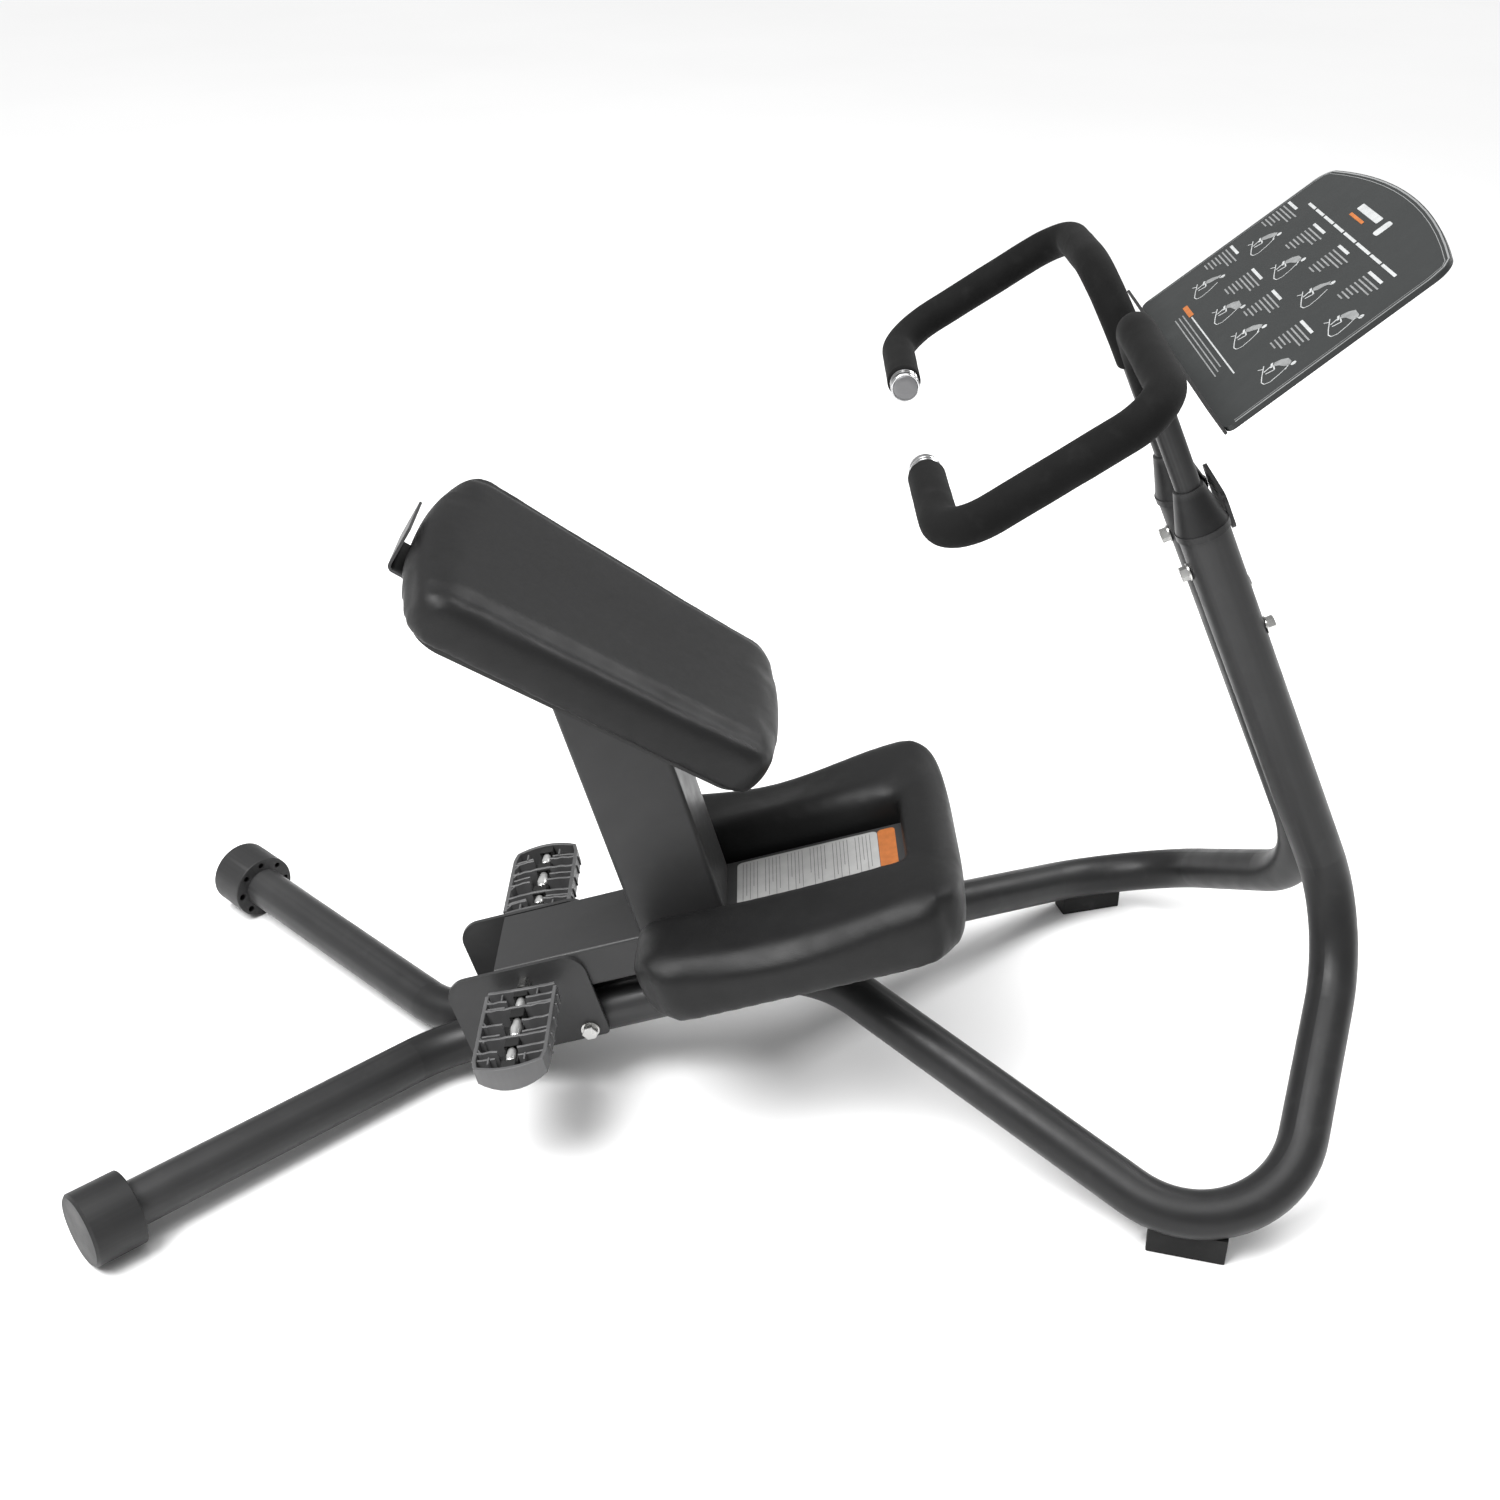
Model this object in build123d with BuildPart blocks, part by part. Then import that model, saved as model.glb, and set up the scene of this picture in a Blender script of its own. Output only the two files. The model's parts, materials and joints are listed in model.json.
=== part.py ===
"""Stretch trainer: a floor frame of two bent tubes carries a rocking seat and knee carriage.

Frame: +X points to the handlebars, +Y to the user's left, +Z up. The origin is on the floor,
on the plane of symmetry, midway along the machine.
"""
import os
from math import cos, pi, radians, sin, tan

from build123d import *

os.makedirs("parts", exist_ok=True)

# ---------------------------------------------------------------- driving dimensions (mm)
TUBE_D = 50.8              # floor frame tube, 2 inch
TUBE_WALL = 2.5
TUBE_Y = 25.7              # spine tubes lie side by side
SPINE_ANGLE = 16.0         # the spine climbs toward the front
SPINE_LOW = (-331.0, 36.0)     # rear end of the spine's straight run (x, z)
SPINE_TOP_X = 92.0         # front end of the spine's straight run
TUBE_JOINT_X = -8.0        # the rear and front tubes meet here on an inner sleeve
SLEEVE_LENGTH, SLEEVE_WALL = 56.0, 3.0
REAR_LEG_END = (-652.0, 323.0, 41.6)
FOOT_CORNER = (546.0, 382.0, 13.0)
MAST_CORNER = (677.0, 50.0, 227.0)
MAST_TOP_Z = 691.0
REAR_BEND_R, SPINE_BEND_R, FOOT_BEND_R, MAST_BEND_R = 110.0, 160.0, 114.0, 144.0

CAP_D, CAP_LENGTH = 82.0, 55.0
FOOT_BLOCK = (80.0, 28.0)      # length, width
FOOT_BLOCK_AT = (475.0, 309.0)
FOOT_BLOCK_YAW = 15.0

PIVOT_X = -157.0           # the carriage rocks about a bolt through the spine tubes
ROCK_LIMIT = 10.0          # degrees, rear end down
PIVOT_BOLT_D = 10.0

BEAM = (-80.0, 398.0)      # along the spine, from the pivot
BEAM_WIDTH, BEAM_HEIGHT, BEAM_WALL = 106.0, 50.0, 3.0
BEAM_TOP = 103.0           # above the pivot, square to the spine
PLATE_THICK = 5.0
PLATE = (-141.0, 20.5, -12.0, 103.0)   # along from, along to, low edge, high edge

POST_SIDE, POST_WALL = 100.0, 3.0
POST_REAR = 91.0
SEAT_PLATE = (240.0, 150.0, 5.0)   # length, width, thickness
POST_MEETS_SEAT = -8.0     # middle of the seat plate, along the seat from the cushion's middle
SEAT_SCREW_HOLE = 8.4

SEAT_AT = (-128.0, 0.0, 560.0)     # middle of the seat cushion
SEAT_SLOPE = 32.0          # nose down toward the front
SEAT_LENGTH, SEAT_THICK = 424.0, 48.0
SEAT_REAR_WIDTH, SEAT_FRONT_WIDTH = 326.0, 262.0
BOARD_THICK = 12.0

KNEE_PAD = (97.0, 450.0)   # along the spine
KNEE_WIDTH, KNEE_SLOT_WIDTH, KNEE_SLOT_END = 368.0, 128.0, 399.0
KNEE_BOARD_LOW, KNEE_BOARD_THICK = 67.0, 10.0
KNEE_PAD_LOW, KNEE_PAD_TOP = 77.0, 137.0

ROD_ALONG, ROD_UP, ROD_D = -50.0, 82.0, 8.0
PEG_INNER, PEG_LENGTH, PEG_WIDTH = 76.0, 126.0, 82.0
PEG_END_BULGE = 12.0
PEG_SLOPE = 12.0           # the pegs turn freely and rest a little flatter than the spine

BAR_D, BAR_WALL = 25.4, 2.0
FOAM_D = 34.6
BAR_POINTS = ((361.0, 47.0, 912.0), (363.0, 278.0, 897.0), (185.0, 282.0, 779.0),
              (183.0, 117.0, 779.0))
BAR_RADII = (82.0, 48.0, 47.0)
FOAM_FROM_Z = 828.0
BAR_END_LENGTH = 15.0

PLACARD_EDGE = (431.0, 843.0)      # lower edge of the panel (x, z)
PLACARD_SLOPE = 39.4
PLACARD_WIDTH, PLACARD_TOP_WIDTH = 376.0, 359.0
PLACARD_SIDE, PLACARD_CROWN, PLACARD_THICK = 219.0, 26.0, 5.0

GAP = 0.3                  # air between pieces that move on each other
SLIP = 0.05                # radial air where one fixed piece slides over another

# ---------------------------------------------------------------- shared directions and planes
SIDES = {"left": 1, "right": -1}
PIVOT_Z = SPINE_LOW[1] + (PIVOT_X - SPINE_LOW[0]) * tan(radians(SPINE_ANGLE))
SPINE_TOP_Z = SPINE_LOW[1] + (SPINE_TOP_X - SPINE_LOW[0]) * tan(radians(SPINE_ANGLE))
JOINT_Z = SPINE_LOW[1] + (TUBE_JOINT_X - SPINE_LOW[0]) * tan(radians(SPINE_ANGLE))
ALONG = Vector(cos(radians(SPINE_ANGLE)), 0, sin(radians(SPINE_ANGLE)))
SQUARE = Vector(-sin(radians(SPINE_ANGLE)), 0, cos(radians(SPINE_ANGLE)))
PIVOT = Vector(PIVOT_X, 0, PIVOT_Z)
TUBE_R = TUBE_D / 2
BEAM_LOW = BEAM_TOP - BEAM_HEIGHT
SEAT_ALONG = Vector(cos(radians(SEAT_SLOPE)), 0, -sin(radians(SEAT_SLOPE)))
SEAT_UP = Vector(sin(radians(SEAT_SLOPE)), 0, cos(radians(SEAT_SLOPE)))
PANEL_UP = Vector(cos(radians(PLACARD_SLOPE)), 0, sin(radians(PLACARD_SLOPE)))
PANEL_OUT = Vector(-sin(radians(PLACARD_SLOPE)), 0, cos(radians(PLACARD_SLOPE)))


def spine_point(along, y, up):
    """A point given along the spine from the pivot, across, and square to the spine."""
    return PIVOT + ALONG * along + Vector(0, y, 0) + SQUARE * up


def deck_plane(up):
    """Plane parallel to the spine; its x runs along the spine and its y is +Y."""
    return Plane(origin=PIVOT + SQUARE * up, x_dir=ALONG, z_dir=SQUARE)


def side_plane(y):
    """Upright plane facing -Y; its x runs along the spine and its y is square to it."""
    return Plane(origin=PIVOT + Vector(0, y, 0), x_dir=ALONG, z_dir=(0, -1, 0))


def seat_plane(up):
    """Plane parallel to the seat, measured from the middle of the cushion."""
    return Plane(origin=Vector(*SEAT_AT) + SEAT_UP * up, x_dir=SEAT_ALONG, z_dir=SEAT_UP)


def panel_plane(out):
    """Plane parallel to the placard; its x runs up the panel from the lower edge."""
    origin = Vector(PLACARD_EDGE[0], 0, PLACARD_EDGE[1]) + PANEL_OUT * out
    return Plane(origin=origin, x_dir=PANEL_UP, z_dir=PANEL_OUT)


def across_plane(along, up, y):
    """Plane facing +Y at a point of the carriage; its y axis is square to the spine."""
    return Plane(origin=spine_point(along, y, up), x_dir=-ALONG, z_dir=(0, 1, 0))


def finish(piece, label):
    """Names one finished piece and writes it."""
    piece.label = label
    export_step(piece, f"parts/{label}.step")
    return piece


def bent_line(points, bend_radii):
    """Straight runs joined by tangent arcs, one radius for each inner corner."""
    corners = [Vector(*point) for point in points]
    with BuildLine() as line:
        start = corners[0]
        for before, corner, after, radius in zip(corners, corners[1:], corners[2:], bend_radii):
            back = (before - corner).normalized()
            ahead = (after - corner).normalized()
            half = radians(back.get_angle(ahead)) / 2
            reach = radius / tan(half)
            bisector = (back + ahead).normalized()
            middle = corner + bisector * (radius / sin(half) - radius)
            Line(start, corner + back * reach)
            ThreePointArc(corner + back * reach, middle, corner + ahead * reach)
            start = corner + ahead * reach
        Line(start, corners[-1])
    return line.line


def swept_ring(line, outer_d, inner_d):
    """A round tube along a line; an inner diameter of zero makes it solid."""
    with BuildPart() as tube:
        with BuildLine():
            add(line)
        with BuildSketch(Plane(origin=line @ 0, z_dir=line % 0)):
            Circle(outer_d / 2)
            if inner_d:
                Circle(inner_d / 2, mode=Mode.SUBTRACT)
        sweep()
    return tube.part


def hex_fastener(plane, head, washer, shank):
    """Washer, hexagon head and shank on a plane that lies on the clamped face, facing outward.

    The head is (across flats, height), the washer and the shank are (diameter, length).
    """
    outward = Axis(plane.origin, plane.z_dir)
    with BuildPart() as fastener:
        with BuildSketch(plane):
            Circle(washer[0] / 2)
        extrude(amount=washer[1])
        with BuildSketch(plane.offset(washer[1])):
            RegularPolygon(head[0] / 2, 6, major_radius=False)
        extrude(amount=head[1])
        chamfer(fastener.faces().sort_by(outward)[-1].edges(), 0.8)
        with BuildSketch(plane):
            Circle(shank[0] / 2)
        extrude(amount=-shank[1])
    return fastener.part


# ---------------------------------------------------------------- floor frame tubes
front_lines = {}
rear_lines = {}
BOLT_HOLE_D = PIVOT_BOLT_D + 0.4
CLAMP_HOLE_D = 8.4
CLAMP_REAR_Z, CLAMP_FRONT_Z = 658.0, 579.0
MAST_X_STEP = (BAR_POINTS[0][0] - MAST_CORNER[0]) / (BAR_POINTS[0][2] - MAST_CORNER[2])
MAST_Y_STEP = (BAR_POINTS[0][1] - MAST_CORNER[1]) / (BAR_POINTS[0][2] - MAST_CORNER[2])
MAST_UP = Vector(MAST_X_STEP, 0, 1).normalized()
MAST_FRONT = Vector(MAST_UP.Z, 0, -MAST_UP.X)


def mast_point(side, z):
    """Point of the mast's axis at a height."""
    rise = z - MAST_CORNER[2]
    y = side * (MAST_CORNER[1] + MAST_Y_STEP * rise)
    return Vector(MAST_CORNER[0] + MAST_X_STEP * rise, y, z)


for name, side in SIDES.items():
    rear_lines[name] = bent_line(
        [(REAR_LEG_END[0], side * REAR_LEG_END[1], REAR_LEG_END[2]),
         (SPINE_LOW[0], side * TUBE_Y, SPINE_LOW[1]),
         (TUBE_JOINT_X, side * TUBE_Y, JOINT_Z)], [REAR_BEND_R])
    front_lines[name] = bent_line(
        [(TUBE_JOINT_X, side * TUBE_Y, JOINT_Z),
         (SPINE_TOP_X, side * TUBE_Y, SPINE_TOP_Z),
         (FOOT_CORNER[0], side * FOOT_CORNER[1], FOOT_CORNER[2]),
         (MAST_CORNER[0], side * MAST_CORNER[1], MAST_CORNER[2]),
         tuple(mast_point(side, MAST_TOP_Z))], [SPINE_BEND_R, FOOT_BEND_R, MAST_BEND_R])

    rear_ring = swept_ring(rear_lines[name], TUBE_D, TUBE_D - 2 * TUBE_WALL)
    with BuildPart() as rear_tube:
        add(rear_ring)
        with BuildSketch(across_plane(0, 0, -TUBE_D - TUBE_Y)):
            Circle(BOLT_HOLE_D / 2)
        extrude(amount=2 * (TUBE_D + TUBE_Y), mode=Mode.SUBTRACT)
    finish(rear_tube.part, f"rear_tube_{name}")

    front_ring = swept_ring(front_lines[name], TUBE_D, TUBE_D - 2 * TUBE_WALL)
    with BuildPart() as front_tube:
        add(front_ring)
        for z, facing in ((CLAMP_REAR_Z, -1), (CLAMP_FRONT_Z, 1)):
            with BuildSketch(Plane(origin=mast_point(side, z), z_dir=MAST_FRONT * facing)):
                Circle(CLAMP_HOLE_D / 2)
            extrude(amount=TUBE_D, mode=Mode.SUBTRACT)
    finish(front_tube.part, f"front_tube_{name}")

    sleeve_from = Vector(TUBE_JOINT_X, side * TUBE_Y, JOINT_Z) - ALONG * (SLEEVE_LENGTH / 2)
    with BuildPart() as sleeve:
        with BuildSketch(Plane(origin=sleeve_from, z_dir=ALONG)):
            Circle(TUBE_R - TUBE_WALL - SLIP)
            Circle(TUBE_R - TUBE_WALL - SLEEVE_WALL, mode=Mode.SUBTRACT)
        extrude(amount=SLEEVE_LENGTH)
    finish(sleeve.part, f"joint_sleeve_{name}")

# The weld beads fill the valleys above and below the line where the spine tubes touch.
WELD_FROM, WELD_TO, WELD_WIDTH = -90.0, 130.0, 18.0
WELD_INNER, WELD_OUTER = 10.0, 18.5
for label, up in (("spine_weld_upper", 1), ("spine_weld_lower", -1)):
    with BuildPart() as weld:
        with BuildSketch(deck_plane(up * WELD_INNER)):
            with Locations(((WELD_FROM + WELD_TO) / 2, 0)):
                Rectangle(WELD_TO - WELD_FROM, WELD_WIDTH)
        extrude(amount=up * (WELD_OUTER - WELD_INNER))
        for side in SIDES.values():
            with BuildSketch(Plane(origin=spine_point(WELD_FROM, side * TUBE_Y, 0), z_dir=ALONG)):
                Circle(TUBE_R)
            extrude(amount=WELD_TO - WELD_FROM, mode=Mode.SUBTRACT)
    finish(weld.part, label)

# ---------------------------------------------------------------- floor contact pieces
CAP_FLOOR = 7.0
CAP_HOLES, CAP_HOLE_DEPTH = 8, 18.0
CAP_HOLE_RING_R = TUBE_R + 7.5
CAP_HOLE_R, CAP_HOLE_GROWTH = 3.1, 1.2     # the holes grow a little toward the far side
for name, side in SIDES.items():
    leg = (rear_lines[name] % 0).normalized()
    cap_face = rear_lines[name] @ 0 - leg * CAP_FLOOR
    inward = Plane(origin=cap_face, x_dir=Vector(0, 0, 1).cross(leg), z_dir=leg)
    cap_axis = Axis(inward.origin, inward.z_dir)
    with BuildPart() as cap:
        with BuildSketch(inward):
            Circle(CAP_D / 2)
        extrude(amount=CAP_LENGTH)
        chamfer(cap.faces().sort_by(cap_axis)[0].edges(), 3.0)
        fillet(cap.faces().sort_by(cap_axis)[-1].edges(), 1.5)
        with BuildSketch(inward.offset(CAP_FLOOR)):
            Circle(TUBE_R + SLIP)
        extrude(amount=CAP_LENGTH, mode=Mode.SUBTRACT)
        for i in range(CAP_HOLES):
            turn = 2 * pi * i / CAP_HOLES
            hole_r = CAP_HOLE_R + CAP_HOLE_GROWTH * abs(sin(turn / 2))
            with BuildSketch(inward.offset(CAP_LENGTH)):
                with Locations((CAP_HOLE_RING_R * cos(turn), CAP_HOLE_RING_R * sin(turn))):
                    Circle(hole_r)
            extrude(amount=-CAP_HOLE_DEPTH, mode=Mode.SUBTRACT)
    finish(cap.part, f"rear_cap_{name}")

# Each foot block is cut to the underside of the tube that it carries.
FOOT_BLOCK_CUT_FROM = 32.0
FOOT_YAW_X, FOOT_YAW_Y = cos(radians(FOOT_BLOCK_YAW)), sin(radians(FOOT_BLOCK_YAW))
for name, side in SIDES.items():
    front_solid = swept_ring(front_lines[name], TUBE_D, 0)
    block_plane = Plane(origin=(FOOT_BLOCK_AT[0], side * FOOT_BLOCK_AT[1], 0),
                        x_dir=(FOOT_YAW_X, side * FOOT_YAW_Y, 0), z_dir=(0, 0, 1))
    with BuildPart() as foot:
        with BuildSketch(block_plane):
            RectangleRounded(FOOT_BLOCK[0], FOOT_BLOCK[1], 2.0)
        extrude(amount=FOOT_BLOCK_CUT_FROM)
        add(front_solid, mode=Mode.SUBTRACT)
    finish(Part(foot.solids().sort_by(Axis.Z)[0].wrapped), f"front_foot_{name}")

# ---------------------------------------------------------------- pivot, rest and stop
PLATE_OUTER_Y = BEAM_WIDTH / 2 + PLATE_THICK
PIVOT_WASHER = (21.0, 2.5)
PIVOT_HEAD = (16.0, 6.5)
PIVOT_HEAD_WASHER = (18.0, 0.8)
PIVOT_NUT_HEIGHT, PIVOT_THREAD_OUT = 8.5, 10.5
SPACER_R = 14.0
washer_outer_y = PLATE_OUTER_Y + GAP + PIVOT_WASHER[1]
head_plane = Plane(origin=spine_point(0, -washer_outer_y, 0), x_dir=ALONG, z_dir=(0, -1, 0))
pivot_shank = (PIVOT_BOLT_D, 2 * washer_outer_y + PIVOT_THREAD_OUT)
finish(hex_fastener(head_plane, PIVOT_HEAD, PIVOT_HEAD_WASHER, pivot_shank), "pivot_bolt")

with BuildPart() as pivot_nut:
    with BuildSketch(across_plane(0, 0, washer_outer_y)):
        RegularPolygon(PIVOT_HEAD[0] / 2, 6, major_radius=False)
        Circle(PIVOT_BOLT_D / 2, mode=Mode.SUBTRACT)
    extrude(amount=PIVOT_NUT_HEIGHT)
finish(pivot_nut.part, "pivot_nut")

for name, side in SIDES.items():
    with BuildPart() as washer:
        with BuildSketch(across_plane(0, 0, side * (PLATE_OUTER_Y + GAP))):
            Circle(PIVOT_WASHER[0] / 2)
            Circle(PIVOT_BOLT_D / 2, mode=Mode.SUBTRACT)
        extrude(amount=side * PIVOT_WASHER[1])
    finish(washer.part, f"pivot_washer_{name}")

    with BuildPart() as spacer:
        with BuildSketch(across_plane(0, 0, side * (TUBE_Y + TUBE_R))):
            Circle(SPACER_R)
            Circle(PIVOT_BOLT_D / 2, mode=Mode.SUBTRACT)
        extrude(amount=side * (BEAM_WIDTH / 2 - GAP - TUBE_Y - TUBE_R))
    finish(spacer.part, f"pivot_spacer_{name}")

SPINE_BAR_WIDTH, RUBBER_WIDTH = 84.0, 72.0


def spine_crossbar(along, length, height, label):
    """Flat bar laid across the crowns of both spine tubes."""
    with BuildPart() as bar:
        with BuildSketch(deck_plane(TUBE_R)):
            with Locations((along, 0)):
                RectangleRounded(length, SPINE_BAR_WIDTH, 3.0)
        extrude(amount=height)
    return finish(bar.part, label)


def spine_rubber(along, length, low, high, label):
    """Rubber block on a crossbar, rounded where the beam lands on it."""
    with BuildPart() as block:
        with BuildSketch(deck_plane(low)):
            with Locations((along, 0)):
                RectangleRounded(length, RUBBER_WIDTH, 5.0)
        extrude(amount=high - low)
        fillet(block.faces().sort_by(Axis(PIVOT, SQUARE))[-1].edges(), 2.0)
    return finish(block.part, label)


# At the rocking limit the beam's lower face has come down onto the rear rubber's front edge.
REST_ALONG, REST_LENGTH, REST_BAR = 196.0, 28.0, 12.0
STOP_ALONG, STOP_LENGTH, STOP_BAR = -72.0, 20.0, 5.0
ROCK = radians(ROCK_LIMIT)
STOP_HIGH = BEAM_LOW / cos(ROCK) + (STOP_ALONG - STOP_LENGTH / 2) * tan(ROCK) - GAP
REST_HIGH = BEAM_LOW - GAP
spine_crossbar(REST_ALONG, REST_LENGTH + 6.0, REST_BAR, "rest_bar")
spine_rubber(REST_ALONG, REST_LENGTH, TUBE_R + REST_BAR, REST_HIGH, "rest_pad")
spine_crossbar(STOP_ALONG, STOP_LENGTH + 6.0, STOP_BAR, "stop_bar")
spine_rubber(STOP_ALONG, STOP_LENGTH, TUBE_R + STOP_BAR, STOP_HIGH, "stop_pad")

# ---------------------------------------------------------------- mast heads and handlebars
COLLAR_BASE_D, COLLAR_TOP_D = 54.0, 30.0
COLLAR_LIP, COLLAR_CONE, COLLAR_SPIGOT = 7.0, 42.0, 38.0
BAR_FOOT_Z = 530.0         # the handlebars reach this far down inside the masts
CLAMP_HEAD, CLAMP_WASHER = (13.0, 8.0), (18.0, 1.6)
CLAMP_SHANK = (8.0, TUBE_R - BAR_D / 2 - 2 * SLIP)
END_D, END_GROOVE_D, END_GROOVE_WIDTH, END_FACE = 30.0, 28.4, 1.2, 3.0
END_GROOVES = (4.0, 9.0)
for name, side in SIDES.items():
    mast_head = mast_point(side, MAST_TOP_Z)
    mast_dir = (mast_head - mast_point(side, BAR_FOOT_Z)).normalized()
    collar_plane = Plane(origin=mast_head, z_dir=mast_dir)
    with BuildPart() as collar:
        with BuildSketch(collar_plane):
            Circle(COLLAR_BASE_D / 2)
        extrude(amount=COLLAR_LIP)
        with BuildSketch(collar_plane.offset(COLLAR_LIP)):
            Circle(COLLAR_BASE_D / 2 - 1.0)
        with BuildSketch(collar_plane.offset(COLLAR_LIP + COLLAR_CONE)):
            Circle(COLLAR_TOP_D / 2)
        loft()
        with BuildSketch(collar_plane):
            Circle(TUBE_R - TUBE_WALL - SLIP)
        extrude(amount=-COLLAR_SPIGOT)
        with BuildSketch(collar_plane.offset(-COLLAR_SPIGOT)):
            Circle(BAR_D / 2 + SLIP)
        extrude(amount=COLLAR_SPIGOT + COLLAR_LIP + COLLAR_CONE, mode=Mode.SUBTRACT)
        with BuildSketch(Plane(origin=mast_point(side, CLAMP_REAR_Z), z_dir=MAST_FRONT * -1)):
            Circle(CLAMP_HOLE_D / 2)
        extrude(amount=TUBE_D, mode=Mode.SUBTRACT)
    finish(collar.part, f"mast_collar_{name}")

    bar_points = [tuple(mast_point(side, BAR_FOOT_Z))]
    bar_points += [(x, side * y, z) for x, y, z in BAR_POINTS]
    bar_line = bent_line(bar_points, BAR_RADII)
    finish(swept_ring(bar_line, BAR_D, BAR_D - 2 * BAR_WALL), f"handlebar_{name}")

    end_dir = (bar_line % 1).normalized()
    foam_end = bar_line @ 1 - end_dir * BAR_END_LENGTH
    foam_points = [tuple(mast_point(side, FOAM_FROM_Z))] + bar_points[1:-1] + [tuple(foam_end)]
    finish(swept_ring(bent_line(foam_points, BAR_RADII), FOAM_D, BAR_D), f"grip_foam_{name}")

    with BuildPart() as bar_end:
        with BuildSketch(Plane(origin=foam_end, z_dir=end_dir)):
            Circle(END_D / 2)
        extrude(amount=BAR_END_LENGTH + END_FACE)
        chamfer(bar_end.faces().sort_by(Axis(foam_end, end_dir))[-1].edges(), 1.2)
        for groove in END_GROOVES:
            with BuildSketch(Plane(origin=foam_end + end_dir * groove, z_dir=end_dir)):
                Circle(END_D / 2 + 1.0)
                Circle(END_GROOVE_D / 2, mode=Mode.SUBTRACT)
            extrude(amount=END_GROOVE_WIDTH, mode=Mode.SUBTRACT)
        with BuildSketch(Plane(origin=foam_end, z_dir=end_dir)):
            Circle(BAR_D / 2 + SLIP)
        extrude(amount=BAR_END_LENGTH, mode=Mode.SUBTRACT)
    finish(bar_end.part, f"bar_end_{name}")

    for label, z, facing in (("rear", CLAMP_REAR_Z, -1), ("front", CLAMP_FRONT_Z, 1)):
        face = mast_point(side, z) + MAST_FRONT * (facing * (TUBE_R + SLIP))
        bolt_plane = Plane(origin=face, x_dir=(0, 1, 0), z_dir=MAST_FRONT * facing)
        clamp_bolt = hex_fastener(bolt_plane, CLAMP_HEAD, CLAMP_WASHER, CLAMP_SHANK)
        finish(clamp_bolt, f"mast_bolt_{label}_{name}")

# A flat plate across the front of the mast heads, just clear of the collars' lips.
BRIDGE_Z, BRIDGE_WIDTH, BRIDGE_HEIGHT, BRIDGE_THICK = 696.0, 92.0, 40.0, 4.0
BRIDGE_SLOT, BRIDGE_SLOT_UP = (30.0, 7.0), 8.0
bridge_at = mast_point(0, BRIDGE_Z) + MAST_FRONT * (COLLAR_BASE_D / 2 + SLIP)
with BuildPart() as mast_bridge:
    with BuildSketch(Plane(origin=bridge_at, x_dir=(0, 1, 0), z_dir=MAST_FRONT)):
        RectangleRounded(BRIDGE_WIDTH, BRIDGE_HEIGHT, 10.0)
        with Locations((0, BRIDGE_SLOT_UP)):
            SlotOverall(BRIDGE_SLOT[0], BRIDGE_SLOT[1], mode=Mode.SUBTRACT)
    extrude(amount=BRIDGE_THICK)
finish(mast_bridge.part, "mast_bridge")

# ---------------------------------------------------------------- placard
LEDGE_HEIGHT, LEDGE_THICK, LEDGE_WIDTH = 23.0, 3.0, 372.0
half_low, half_top = PLACARD_WIDTH / 2, PLACARD_TOP_WIDTH / 2
with BuildPart() as placard:
    with BuildSketch(panel_plane(-PLACARD_THICK)) as outline:
        with BuildLine():
            Line((0, -half_low), (PLACARD_SIDE, -half_top))
            ThreePointArc((PLACARD_SIDE, -half_top), (PLACARD_SIDE + PLACARD_CROWN, 0),
                          (PLACARD_SIDE, half_top))
            Line((PLACARD_SIDE, half_top), (0, half_low))
            Line((0, half_low), (0, -half_low))
        make_face()
        fillet(outline.vertices().group_by(Axis.X)[0], 8.0)
        fillet(outline.vertices().filter_by(lambda v: abs(v.X - PLACARD_SIDE) < 1.0), 24.0)
    extrude(amount=PLACARD_THICK)
finish(placard.part, "placard_panel")

with BuildPart() as ledge:
    with BuildSketch(panel_plane(-PLACARD_THICK)):
        with Locations((-LEDGE_THICK / 2 - SLIP, 0)):
            RectangleRounded(LEDGE_THICK, LEDGE_WIDTH, 1.4)
    extrude(amount=PLACARD_THICK + LEDGE_HEIGHT)
finish(ledge.part, "placard_ledge")

# A crossbar between the handlebar stems carries a folded bracket under the panel.
CROSS_Z, CROSS_HEIGHT, CROSS_THICK = 791.0, 34.0, 12.0
cross_half = mast_point(1, CROSS_Z + CROSS_HEIGHT / 2).Y - BAR_D / 2 - SLIP
cross_plane = Plane(origin=mast_point(0, CROSS_Z) - MAST_FRONT * (CROSS_THICK / 2),
                    x_dir=(0, 1, 0), z_dir=MAST_FRONT)
with BuildPart() as bar_cross:
    with BuildSketch(cross_plane):
        Rectangle(2 * cross_half, CROSS_HEIGHT)
    extrude(amount=CROSS_THICK)
finish(bar_cross.part, "bar_cross")

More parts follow.
